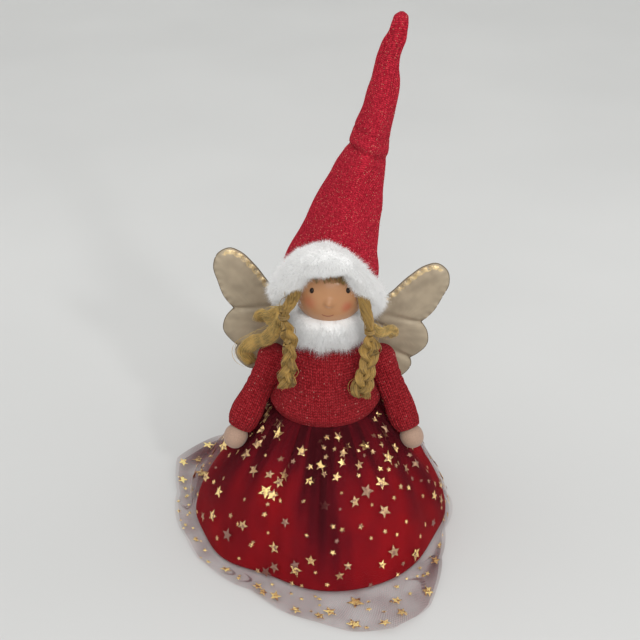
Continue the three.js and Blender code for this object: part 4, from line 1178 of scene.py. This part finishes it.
def make_tie(side, foot, sizes):
    """Yarn wound five times round a bunch: a helix whose radius wavers."""
    winds = np.linspace(0, 1, 160)
    ring = 3.1 + 0.5 * np.sin(winds * 23)
    coil = np.stack([foot[0] + ring * np.cos(winds * TAU * 5), foot[1] + ring * np.sin(winds * TAU * 5),
                     foot[2] + 0.9 + 2.6 * winds], -1)
    made = tubes(f"hair_tie_{side}", coil[None], np.full((1, 160), 0.8), 8, {"strand": [0.2]})
    cover(made, hair_finish(f"{side} tie yarn", sizes.hair_colour), "hair", f"hair_tie_{side}")
    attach(made, "doll")


def make_fringe(sizes):
    """Hair glued over the head: arcs from the crown down to the brim's edge all round, and a fringe in front."""
    rng = np.random.default_rng(90)
    count, steps = sizes.hair_count * 4, 14
    turn = rng.uniform(0, TAU, (count, 1))
    front = np.maximum(0, -np.sin(turn))
    reach = np.radians(rng.uniform(52, 74, (count, 1)) + 6 * (1 - front) - front)
    share = np.linspace(0.15, 1, steps)[None]
    polar = reach * share
    radius = HEAD_RADIUS + 0.35 + 1.7 * rng.random((count, 1))
    swirl = turn + 0.25 * np.sin(share * 3 + turn * 5)
    local = np.stack([np.sin(polar) * np.cos(swirl), np.sin(polar) * np.sin(swirl), np.cos(polar) + 0 * swirl], -1)
    tilt = -math.radians(12)
    y = local[..., 1] * math.cos(tilt) - local[..., 2] * math.sin(tilt)
    z = local[..., 1] * math.sin(tilt) + local[..., 2] * math.cos(tilt)
    centres = HEAD + radius[..., None] * np.stack([local[..., 0], y, z], -1)
    made = tubes("hair_cap", centres, np.full((count, steps), 0.3), 4, {"strand": rng.random(count)})
    # painted shade: the hair under the hat is a quarter darker, as shade under the brim
    cover(made, hair_finish("hair under the hat", scaled(sizes.hair_colour, 0.75)), "hair", "hair_cap")
    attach(made, "doll")


# Level, centre from side to side, radius and centre from front to back
HAT = [
    [190, 7.2, 37.4, 0.4], [214, 7.2, 37.0, 0.6], [232, 8.4, 35.6, 1.2], [254, 13.2, 30.0, 2.2], [277, 19.3, 25.0, 3.2],
    [298, 25.6, 20.0, 4.2], [309, 29.0, 17.8, 4.6], [318, 32.8, 15.8, 5.0], [326, 35.2, 14.4, 5.0],
    [336, 37.4, 13.6, 5.0], [351, 41.3, 12.6, 5.0], [362, 43.9, 11.6, 5.0], [372, 45.6, 10.2, 5.0],
    [382, 46.4, 8.8, 5.0], [392, 48.6, 8.1, 5.0], [400, 51.2, 8.2, 5.0], [407, 53.6, 6.2, 5.0], [414, 55.2, 5.4, 5.0],
    [418.5, 55.7, 4.0, 5.0], [HAT_TOP, 56.0, 1.6, 5.0],
]


def brim_level(turn):
    """Middle of the fur band: high in front, low behind and lowest over the ears."""
    wavy = 0.9 * np.sin(turn) + 0.39 * np.cos(2 * turn) + 0.12 * np.cos(turn)
    return HEAD_LEVEL + HEAD_RADIUS * (0.13 - wavy)


def hat_pinch(turn, level, radius):
    """How far the hat draws in, as a share: at the fold and just above it, mostly in front, and near the tip."""
    slant = level + 0.34 * (radius * np.cos(turn)) + 0.1 * radius * np.sin(turn)
    facing = 0.35 + 0.65 * ease(0.5 - np.sin(turn) * 0.8)
    pinch = -0.17 * hump(slant, 319, 2.4) + 0.05 * hump(slant, 325, 3.0) - 0.07 * hump(slant, 333, 1.3)
    pinch = pinch * facing * (1 - 0.6 * turn_hump(np.degrees(turn), 0, 45))
    return pinch - 0.03 * hump(level - 0.3 * radius * np.cos(turn), 386, 3)


def make_hat(sizes):
    """The knitted hat in one piece: level rings through a smooth table, pinched at the fold, over its filling."""
    turn = turns_round(440)[None, :]
    share = np.linspace(0, 1, 205)[:, None]
    foot = brim_level(turn) - 4
    level = foot + (HAT_TOP - foot) * share**0.97
    x, radius, y = smooth(HAT, level)
    dents = (0.35 + 0.02 * radius) * waves(turn * 2 + np.sin(turn), level / 11, 101)
    dents = dents + 0.3 * waves(turn * 5, level / 5, 102)
    ribs = 0.3 * np.cos(88 * turn) * ease((radius - 13) / 8) + 0.2 * np.cos(44 * turn) * ease((17 - radius) / 5)
    grown = radius * (1 + hat_pinch(turn, level, radius)) + (dents + ribs) * ease((420 - level) / 12)
    outside = np.stack([x + grown * np.cos(turn), y + grown * np.sin(turn), level + 0 * turn], -1)
    inside = [np.stack([x[:1] + grown[:1] * part * np.cos(turn), y[:1] + grown[:1] * part * np.sin(turn),
                        foot + rise + 0 * turn], -1)
              for part, rise in ((0.9, 4.0), (0.92, 0.0), (0.95, -0.9), (0.985, -0.8))]
    grid = np.concatenate(inside + [outside])
    uv = cloth_map(arc_lengths(grid, 220) / sizes.hat_stitch, run_down(grid) / (sizes.hat_stitch * 0.8))
    made = skin("hat", grid, uv)
    finish = knit_finish("hat knit with bright threads", sizes.hat_colour, HAT_GLITTER, 0.8)
    cover(made, finish, "hat_knit", "hat_crown", "hat_tip", "crown_stuffing", "tip_stuffing")
    start, stop = (0.030, 0.005, 0.306), (0.0335, 0.005, 0.330)
    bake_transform(made)
    rng, blend = np.random.default_rng(110), ("doll", "hat_tip", start, stop)
    lint_on("hat_lint", grid[len(inside) :], sizes.lint_count, rng, sizes.hat_colour, None, blend)


PILE_SHARE = 0.24  # share of the pile by which the cloth lies inside the fur's outline


def fur_hairs(name, grid, count, pile, rng, material, settle, keep):
    """Fur on a ring: hairs square to it that lean together in tufts and bow at their tips.

    Only the hairs for which keep holds are made. Those in front are shorter underneath and on top.
    """
    roots, square = scatter(grid, count, rng, loop_rows=True)
    chosen = keep(roots, square)
    roots, square = roots[chosen], square[chosen]
    count = len(roots)
    tuft = np.stack([waves(roots[:, 0] / 2.6 + k, roots[:, 1] / 2.6 + roots[:, 2] / 2.3, 200 + k)
                     for k in range(3)], -1)
    heading = unit(square + 0.2 * tuft + 0.25 * rng.normal(size=(count, 3)) + 2.2 * settle)
    bend = 0.2 * rng.normal(size=(count, 3)) + settle
    lengths = pile * rng.uniform(0.65, 1.1, count) * (1 + 0.22 * waves(roots[:, 0] / 4, roots[:, 2] / 4, 205))
    lengths = lengths * (1 - 0.5 * ease((-square[:, 2] - 0.1) / 0.5) * ease((-roots[:, 1] - 10) / 12))
    lengths = lengths * (1 - 0.3 * ease((square[:, 2] - 0.2) / 0.5) * ease((-roots[:, 1] - 14) / 12))
    made = fibres(name, roots - square * 0.3, heading, lengths, 0.24, bend)
    cover(made, material, "fur")
    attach(made, "doll")


def make_fur(sizes):
    """The fur of the hat's brim and of the collar: cloth rings that are smaller by the pile, and hairs on them."""
    cloth = fur_finish("fur cloth", sizes.fur_colour, False)
    turn, around = circle(96)[None, :], circle(32)[:, None]
    make_brim(sizes, cloth, turn, around)
    make_collar(sizes, cloth, turn, around)


def make_brim(sizes, cloth, turn, around):
    """The brim: a band that is thicker in front, and taller or flatter in places, with its hairs in three parts."""
    front = np.maximum(0, -np.sin(turn)) ** 1.5
    radius = (11.2 + 2.8 * front) - sizes.brim_pile * PILE_SHARE
    out_x, out_y = np.cos(turn), np.sin(turn)
    x = HEAD[0] - 1.7 + 31.5 * out_x + radius * np.cos(around) * out_x
    y = 0.6 + 35 * out_y + radius * np.cos(around) * out_y
    degrees, height = np.degrees(turn), np.sin(around)
    flat = humps(degrees, (0.62, -64, 15), (0.22, -116, 20))
    tall = humps(degrees, (0.5, -146, 26), (-0.2, -88, 26))
    deep = humps(degrees, (0.75, 182, 32), (0.45, -8, 30))
    level = brim_level(turn) + 0.8 * turn_hump(degrees, -66, 30)
    stretched = height * (1 + np.where(height > 0, tall, deep - flat))
    brim = np.stack([x, y, level + radius * stretched], -1)
    made = skin("fur_brim", brim, loop_rows=True)
    cover(made, cloth, "fur", "fur_brim")
    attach(made, "doll")
    fur = fur_finish("white fur", sizes.fur_colour, True)
    behind = -14
    parts = {
        "front": lambda place, square: place[:, 1] < behind,
        "right": lambda place, square: (place[:, 1] >= behind) & (place[:, 0] < HEAD[0]),
        "left": lambda place, square: (place[:, 1] >= behind) & (place[:, 0] >= HEAD[0]),
    }
    for number, (part, keep) in enumerate(parts.items()):
        rng, settle = np.random.default_rng(120 + number), np.array([0, 0, -0.18])
        fur_hairs(f"brim_fur_{part}", brim, sizes.fur_count * 2, sizes.brim_pile, rng, fur, settle, keep)


def make_collar(sizes, cloth, turn, around):
    """The collar: a ring round the neck that hangs lower in front, with hairs on its outside."""
    level = NECK_TOP + NECK_GAP
    radius = 12.5 - sizes.collar_pile * PILE_SHARE
    out_x, out_y = np.cos(turn), np.sin(turn)
    out = 18.5 + radius * np.cos(around)
    hang = 1 + 0.32 * (np.sin(around) < 0) * np.sqrt(np.maximum(0, -out_y))
    height = level + radius * np.sin(around) * hang
    collar = np.stack([LEAN * level + 0.96 * out * out_x, out * out_y + 0 * out_x, height], -1)
    made = skin("fur_collar", collar, loop_rows=True)
    cover(made, cloth, "fur", "fur_collar")
    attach(made, "doll")

    def outside(place, square):
        """Whether a hair stands on the collar's outside, not against the neck."""
        return square[:, 0] * (place[:, 0] - LEAN * level) + square[:, 1] * place[:, 1] > -12

    # painted shade: the collar's hairs are a tenth darker than the brim's, as shade under the head
    fur = fur_finish("collar fur", scaled(sizes.fur_colour, 0.9), True)
    rng, settle = np.random.default_rng(130), np.array([0, 0, -0.55])
    fur_hairs("collar_fur", collar, sizes.fur_count, sizes.collar_pile, rng, fur, settle, outside)


# Wings

# The three lobes: places out and up from the root, in spans
LOBES = [
    [[0.27, 0.26], [0.47, 0.36], [0.66, 0.575], [0.777, 0.68], [0.872, 0.713], [0.968, 0.654], [1, 0.53],
     [0.957, 0.394], [0.894, 0.245], [0.809, 0.144]],
    [[0.809, 0.144], [0.872, 0.048], [0.886, -0.074], [0.814, -0.176], [0.755, -0.223]],
    [[0.755, -0.223], [0.771, -0.287], [0.729, -0.383], [0.638, -0.447], [0.51, -0.415], [0.36, -0.287], [0.22, -0.18]],
]


def wing_outline():
    """Outline in the wing's own plane, out and up from its root, with sharp notches between smooth lobes."""
    root = [8.0 / WING_SPAN, -0.15], [8.0 / WING_SPAN, 0.19]
    parts = [curve_through(np.array(lobe), 60)[:-1] for lobe in LOBES]
    parts = [curve_through(np.array([root[1], LOBES[0][0]]), 12)[:-1]] + parts
    parts += [curve_through(np.array([LOBES[2][-1], root[0]]), 8)[:-1], curve_through(np.array(root), 16)[:-1]]
    return np.concatenate(parts) * WING_SPAN


def wing_place(side, out, up, back):
    """From the wing's own plane to the shared frame: tilted about its root, which is on the sweater's back."""
    x = SIDES[side] * out
    cos, sin = math.cos(WING_TILT), math.sin(WING_TILT)
    root = np.array([LEAN * WING_LEVEL, SWEATER_RADIUS + 2, WING_LEVEL])
    x, up, back = np.broadcast_arrays(x, up, back)
    return root + np.stack([x * cos + up * sin, back, -x * sin + up * cos], -1)


# Creases pressed into both wings' fronts, from where they are deepest to where they end, in millimetres
WING_CREASES = (((76.0, 13.5), (38.0, 20.0)), ((71.0, -21.0), (40.0, -6.0)))


def wing_rays(outline):
    """Rays from a middle point to the outline: angles, shares along them, and places out and up."""
    middle = np.array([55.0, 10.0])
    angle = np.arctan2(outline[:, 1] - middle[1], outline[:, 0] - middle[0])
    order = np.argsort(angle)
    reach = np.linalg.norm(outline - middle, axis=1)[order]
    ray = np.linspace(-math.pi, math.pi, 360, endpoint=False)
    length = np.interp(ray, angle[order], reach, period=TAU)
    share = np.concatenate([np.linspace(0.02, 0.9, 40), np.linspace(0.9, 1, 14)[1:]])[:, None]
    return ray, share, middle[0] + share * length * np.cos(ray), middle[1] + share * length * np.sin(ray)


def wing_crease(side, out, up):
    """Depth of the creases: 1.9 times a valley that widens and fades from its start, and a bow on the left wing."""
    crease = np.zeros_like(out)
    for start, stop in WING_CREASES:
        run = np.array(stop) - start
        along = np.clip(((out - start[0]) * run[0] + (up - start[1]) * run[1]) / (run @ run), 0, 1)
        off = np.hypot(out - start[0] - along * run[0], up - start[1] - along * run[1])
        crease = crease + 1.9 * hump(off, 0, 1.8 + 2 * along) * (1 - along) ** 0.7
    if side == "left":
        bow = 1.3 * hump(up - (14 - 0.35 * (out - 30)), 0, 2.0)
        crease = crease + bow * ease((62 - out) / 20) * ease((out - 18) / 12)
    return crease


def wing_marks(ray, out, up, distance):
    """Attributes for the leather: faint rays from the root, painted lighter as highlights on folds, and foil with a
    painted highlight along the edge and along the ridge inset from the inner upper edge.
    """
    rays = np.cos(ray * 34 + 2 * np.sin(ray * 7)) * 0.5 + 0.5
    from_root = np.arctan2(up - 2, out - 6)
    # fold lines from the root, painted lighter in the leather as highlights
    folds = np.cos(from_root * 38 + 2 * np.sin(from_root * 9)) * 0.5 + 0.5
    folds = folds * ease((out - 15) / 30) * (0.5 + 0.5 * rays)
    above = 0.784 * (up - 24) - 0.62 * (out - 25)
    # painted highlight along the ridge inset from the inner upper edge, and faintly at the edge itself
    foil = 1.2 * hump(distance, 3.0, 1.7) * ease((above + 11) / 4) * ease((up - 26) / 10)
    foil = np.clip(foil + 0.1 * hump(distance, 0, 3.2), 0, 1)
    return {"ray": np.concatenate([folds, folds[::-1]]), "foil": np.concatenate([foil, foil[::-1]])}


def wing_skin(side, part, rows, marks, sizes, *covered):
    """The front or the back of a wing in its leather."""
    made = skin(f"wing_{side}_{part}", np.concatenate(rows), None, marks)
    finish = wing_finish(f"{side} wing {part} leather", sizes.wing_colour, sizes.foil_and_highlight_colour)
    cover(made, finish, f"wing_{part}", *covered)
    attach(made, f"wing_{side}")
    return made


def make_wings(sizes):
    """Padded wings: front and back skins, puffed by 1 - exp(-distance to the edge / 4.5), and thread round them."""
    outline = wing_outline()
    ray, share, out, up = wing_rays(outline)
    distance = np.min(np.hypot(out[..., None] - outline[::3, 0], up[..., None] - outline[::3, 1]), axis=-1)
    distance = distance * ease((1.0 - share) * 40)
    puff, rim = 1 - np.exp(-distance / 4.5), ease((1 - share) * 60)
    puckers = 0.06 * np.cos(ray * 46 + 3 * np.sin(ray * 5)) * hump(distance, 2.5, 3.0)
    marks = wing_marks(ray, out, up, distance)
    for number, side in enumerate(SIDES):
        uneven = waves(out / 11, up / 11, 140 + number) * 0.22 + waves(out / 3, up / 3, 142 + number) * 0.05
        front = -1.0 - (3.3 * puff + (1.4 * uneven + 0.5 * puckers) * puff - wing_crease(side, out, up))
        rows = [wing_place(side, out, up, -0.8 + (front + 0.8) * rim), wing_place(side, out, up, -0.5)[::-1]]
        made = wing_skin(side, "front", rows, marks, sizes, f"wing_{side}_front_skin", f"wing_{side}_padding")
        back = 0.15 + 0.35 * puff + 0.3 * (uneven + puckers) * puff
        rows = [wing_place(side, out, up, -0.38), wing_place(side, out, up, -0.1 + (back + 0.1) * rim)[::-1]]
        wing_skin(side, "back", rows, marks, sizes, f"wing_{side}_back_skin")
        closed = np.concatenate([outline[8:], outline[:9]])
        line = wing_place(side, closed[:, 0], closed[:, 1], -0.45)
        made = tubes(f"wing_{side}_edge", line[None], np.full((1, len(line)), 0.48), 8)
        cover(made, thread_finish(f"{side} edge thread", shade(104, 92, 72)), "wing_back")
        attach(made, f"wing_{side}")
    make_patch(sizes)


def make_patch(sizes):
    """The tab on the back that the wings are sewn to: a rounded block, |cos|^6 + |sin|^6 = 1 in its section."""
    turn = circle(48)[None, :]
    rise = np.sin(np.linspace(-1.45, 1.45, 26))[:, None]
    round_off = (1 - np.abs(rise) ** 8) ** 0.25
    corner = (np.abs(np.cos(turn)) ** 6 + np.abs(np.sin(turn)) ** 6) ** (-1 / 6)
    x = 7.6 * round_off * corner * np.cos(turn)
    y = -4.2 + 4.6 * round_off * corner * np.sin(turn)
    made = skin("wing_patch", wing_place("left", x, 14 * rise + 0 * turn, y))
    cover(made, wing_finish("patch leather", sizes.wing_colour, sizes.foil_and_highlight_colour), "wing_back", "wing_patch")
    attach(made, "doll")


# Stage


def make_stage(sizes):
    """A pale floor that curves up behind, a soft lamp high to the side, and even light from all round."""
    run = np.linspace(0, 1, 60)[:, None]
    flat, turned = 0.55, 0.75
    near, far, bend_radius, wall = -1500, 1800, 400, 2200
    bend = np.clip((run - flat) / (turned - flat), 0, 1) * math.pi / 2
    y = np.where(run < flat, near + run / flat * (far - near), far + bend_radius * np.sin(bend))
    z = bend_radius * (1 - np.cos(bend)) + np.clip((run - turned) / (1 - turned), 0, 1) * wall
    grid = np.stack(np.broadcast_arrays(np.linspace(-3000, 3000, 12)[None, :], y, z - 0.2), -1)
    made = skin("floor_sweep", grid, loop_columns=False, caps=False)
    made.data.materials.append(floor_finish(sizes.floor_colour))
    for name, size, power, place in (("front_lamp", 2.0, sizes.lamp_power, (0.1, -2.1, 1.9)),
                                     ("side_lamp", 0.16, sizes.lamp_power * 0.28, (0.79, -1.38, 1.16))):
        lamp = bpy.data.lights.new(name, "AREA")
        lamp.shape, lamp.size, lamp.energy = "DISK", size, power
        held = bpy.data.objects.new(name, lamp)
        away = np.array(place) - [0, 0, 0.2]
        held.location = place
        held.rotation_euler = (math.acos(away[2] / np.linalg.norm(away)), 0, math.atan2(away[0], -away[1]))
        bpy.context.scene.collection.objects.link(held)
    world = bpy.data.worlds.new("soft light")
    world.use_nodes = True
    around = world.node_tree.nodes["Background"]
    around.inputs["Color"].default_value = (1.0, 0.99, 0.98, 1.0)
    around.inputs["Strength"].default_value = sizes.world_light
    bpy.context.scene.world = world
    camera = bpy.data.cameras.new("camera")
    camera.lens, camera.sensor_width = 72.17, 36.0
    eye = bpy.data.objects.new("camera", camera)
    eye.location, eye.rotation_euler = (0, -0.861, 0.67), (math.radians(60.4), 0, 0)
    bpy.context.scene.collection.objects.link(eye)
    bpy.context.scene.camera = eye
    bpy.context.scene.view_settings.view_transform = "Standard"


# The add-on: sizes and colours, one operator for each group of like pieces, and a panel


def colour_property(name, description, red, green, blue):
    """A colour with its default given from 0 to 255."""
    return FloatVectorProperty(name=name, description=description, default=shade(red, green, blue), size=4,
                               min=0.0, max=1.0, subtype="COLOR")


class TopperLook(bpy.types.PropertyGroup):
    """Sizes and colours that can be changed before the pieces are made."""

    velvet_colour: colour_property("Velvet", "Colour of the velvet skirt", 150, 12, 17)
    tulle_colour: colour_property("Tulle", "Colour of the sheer layers", 112, 20, 34)
    sweater_colour: colour_property("Sweater", "Colour of the knitted sweater", 162, 24, 34)
    hat_colour: colour_property("Hat", "Colour of the knitted hat", 210, 33, 58)
    fur_colour: colour_property("Fur", "Colour of the brim and the collar", 250, 250, 249)
    hair_colour: colour_property("Hair", "Colour of the hair", 146, 115, 54)
    skin_colour: colour_property("Face", "Colour of the painted face", 173, 126, 88)
    blush_colour: colour_property("Cheeks", "Colour of the rosy cheeks", 170, 76, 58)
    hand_colour: colour_property("Hands", "Colour of the round hands", 160, 131, 112)
    wing_colour: colour_property("Wings", "Colour of the wings' leather", 163, 149, 127)
    # colour of the foil and of the highlight painted along the wings' ridges and edges
    foil_and_highlight_colour: colour_property("Wing foil", "Colour of the foil on the wings' edges", 226, 200, 150)
    star_colour: colour_property("Stars", "Colour of the foil stars", 240, 210, 138)
    floor_colour: colour_property("Floor", "Colour of the floor and backdrop", 203, 204, 203)
    tulle_opacity: FloatProperty(name="Tulle opacity", description="How much each sheer layer covers",
                                 default=0.17, min=0.05, max=0.9, subtype="FACTOR")
    star_count: IntProperty(name="Stars", description="Foil stars on the outer layer", default=330, min=0, max=900)
    stitch_width: FloatProperty(name="Stitch width", description="Width of a sweater stitch in millimetres",
                                default=3.1, min=1.0, max=8.0)
    stitch_height: FloatProperty(name="Stitch height", description="Height of a sweater stitch in millimetres",
                                 default=2.3, min=0.8, max=8.0)
    hat_stitch: FloatProperty(name="Hat stitch", description="Width of a hat stitch in millimetres",
                              default=2.3, min=1.0, max=8.0)
    lint_count: IntProperty(name="Lint", description="Loose fibres on the knitting", default=5000, min=0, max=20000)
    hair_count: IntProperty(name="Strands", description="Strands in one lock of hair", default=230, min=20, max=600)
    fur_count: IntProperty(name="Fur hairs", description="Hairs tried on the collar", default=19000, min=500, max=19500)
    brim_pile: FloatProperty(name="Brim pile", description="Length of the brim's hairs in millimetres",
                             default=7.0, min=2.0, max=10.0)
    collar_pile: FloatProperty(name="Collar pile", description="Length of the collar's hairs in millimetres",
                               default=8.5, min=2.0, max=12.0)
    lamp_power: FloatProperty(name="Lamp", description="Power of the main lamp", default=24.0, min=0.0,
                              max=500.0, unit="POWER")
    world_light: FloatProperty(name="Room light", description="Strength of the light from all round", default=0.86,
                               min=0.0, max=3.0)


class TOPPER_OT_hidden_parts(bpy.types.Operator):
    """Gives the card cone, its cap and the stick their finishes."""

    bl_idname = "topper.hidden_parts"
    bl_label = "Hidden parts"
    bl_options = {"REGISTER", "UNDO"}

    def execute(self, context):
        make_hidden_parts()
        return {"FINISHED"}


class TOPPER_OT_skirt(bpy.types.Operator):
    """Makes the velvet skirt."""

    bl_idname = "topper.skirt"
    bl_label = "Velvet skirt"
    bl_options = {"REGISTER", "UNDO"}

    def execute(self, context):
        make_velvet(context.scene.topper_look)
        return {"FINISHED"}


class TOPPER_OT_tulle(bpy.types.Operator):
    """Makes the two sheer layers over the velvet."""

    bl_idname = "topper.tulle"
    bl_label = "Tulle layers"
    bl_options = {"REGISTER", "UNDO"}

    def execute(self, context):
        make_tulle(context.scene.topper_look)
        return {"FINISHED"}


class TOPPER_OT_stars(bpy.types.Operator):
    """Sets the foil stars on the tulle."""

    bl_idname = "topper.stars"
    bl_label = "Foil stars"
    bl_options = {"REGISTER", "UNDO"}

    def execute(self, context):
        make_stars(context.scene.topper_look)
        return {"FINISHED"}


class TOPPER_OT_sweater(bpy.types.Operator):
    """Makes the knitted sweater and the elastic under its hem."""

    bl_idname = "topper.sweater"
    bl_label = "Sweater"
    bl_options = {"REGISTER", "UNDO"}

    def execute(self, context):
        make_sweater(context.scene.topper_look)
        make_elastic()
        return {"FINISHED"}


class TOPPER_OT_arms(bpy.types.Operator):
    """Makes both sleeves and both hands."""

    bl_idname = "topper.arms"
    bl_label = "Sleeves and hands"
    bl_options = {"REGISTER", "UNDO"}

    def execute(self, context):
        make_sleeves(context.scene.topper_look)
        make_hands(context.scene.topper_look)
        return {"FINISHED"}


class TOPPER_OT_head(bpy.types.Operator):
    """Makes the head with its eyes."""

    bl_idname = "topper.head"
    bl_label = "Head"
    bl_options = {"REGISTER", "UNDO"}

    def execute(self, context):
        make_head(context.scene.topper_look)
        return {"FINISHED"}


class TOPPER_OT_hair(bpy.types.Operator):
    """Makes the locks, ties, twisted ends, swept strands and the hair under the hat."""

    bl_idname = "topper.hair"
    bl_label = "Hair"
    bl_options = {"REGISTER", "UNDO"}

    def execute(self, context):
        make_hair(context.scene.topper_look)
        return {"FINISHED"}


class TOPPER_OT_hat(bpy.types.Operator):
    """Makes the knitted hat."""

    bl_idname = "topper.hat"
    bl_label = "Hat"
    bl_options = {"REGISTER", "UNDO"}

    def execute(self, context):
        make_hat(context.scene.topper_look)
        return {"FINISHED"}


class TOPPER_OT_fur(bpy.types.Operator):
    """Makes the fur of the brim and the collar."""

    bl_idname = "topper.fur"
    bl_label = "Fur"
    bl_options = {"REGISTER", "UNDO"}

    def execute(self, context):
        make_fur(context.scene.topper_look)
        return {"FINISHED"}


class TOPPER_OT_wings(bpy.types.Operator):
    """Makes both wings and the patch that they are sewn to."""

    bl_idname = "topper.wings"
    bl_label = "Wings"
    bl_options = {"REGISTER", "UNDO"}

    def execute(self, context):
        make_wings(context.scene.topper_look)
        return {"FINISHED"}


class TOPPER_OT_stage(bpy.types.Operator):
    """Makes the floor, the lamps and the camera."""

    bl_idname = "topper.stage"
    bl_label = "Stage"
    bl_options = {"REGISTER", "UNDO"}

    def execute(self, context):
        make_stage(context.scene.topper_look)
        return {"FINISHED"}


class TOPPER_PT_panel(bpy.types.Panel):
    """Sizes, colours and the steps of the topper, in the order they are made."""

    bl_label = "Fairy tree topper"
    bl_space_type = "VIEW_3D"
    bl_region_type = "UI"
    bl_category = "Topper"

    def draw(self, context):
        """The settings, then a button for each step."""
        look = context.scene.topper_look
        column = self.layout.column()
        for name in TopperLook.__annotations__:
            column.prop(look, name)
        for step in STEPS:
            column.operator(step.bl_idname)


STEPS = (
    TOPPER_OT_hidden_parts,
    TOPPER_OT_skirt,
    TOPPER_OT_tulle,
    TOPPER_OT_stars,
    TOPPER_OT_sweater,
    TOPPER_OT_arms,
    TOPPER_OT_head,
    TOPPER_OT_hair,
    TOPPER_OT_hat,
    TOPPER_OT_fur,
    TOPPER_OT_wings,
    TOPPER_OT_stage,
)


def register():
    """Makes the settings, the steps and the panel known."""
    for each in (TopperLook, *STEPS, TOPPER_PT_panel):
        bpy.utils.register_class(each)
    bpy.types.Scene.topper_look = PointerProperty(type=TopperLook)


def unregister():
    """Takes them away again."""
    del bpy.types.Scene.topper_look
    for each in reversed((TopperLook, *STEPS, TOPPER_PT_panel)):
        bpy.utils.unregister_class(each)


def main():
    """Makes everything in order."""
    register()
    bpy.ops.topper.hidden_parts()
    bpy.ops.topper.skirt()
    bpy.ops.topper.tulle()
    bpy.ops.topper.stars()
    bpy.ops.topper.sweater()
    bpy.ops.topper.arms()
    bpy.ops.topper.head()
    bpy.ops.topper.hair()
    bpy.ops.topper.hat()
    bpy.ops.topper.fur()
    bpy.ops.topper.wings()
    bpy.ops.topper.stage()


if __name__ == "__main__":
    main()
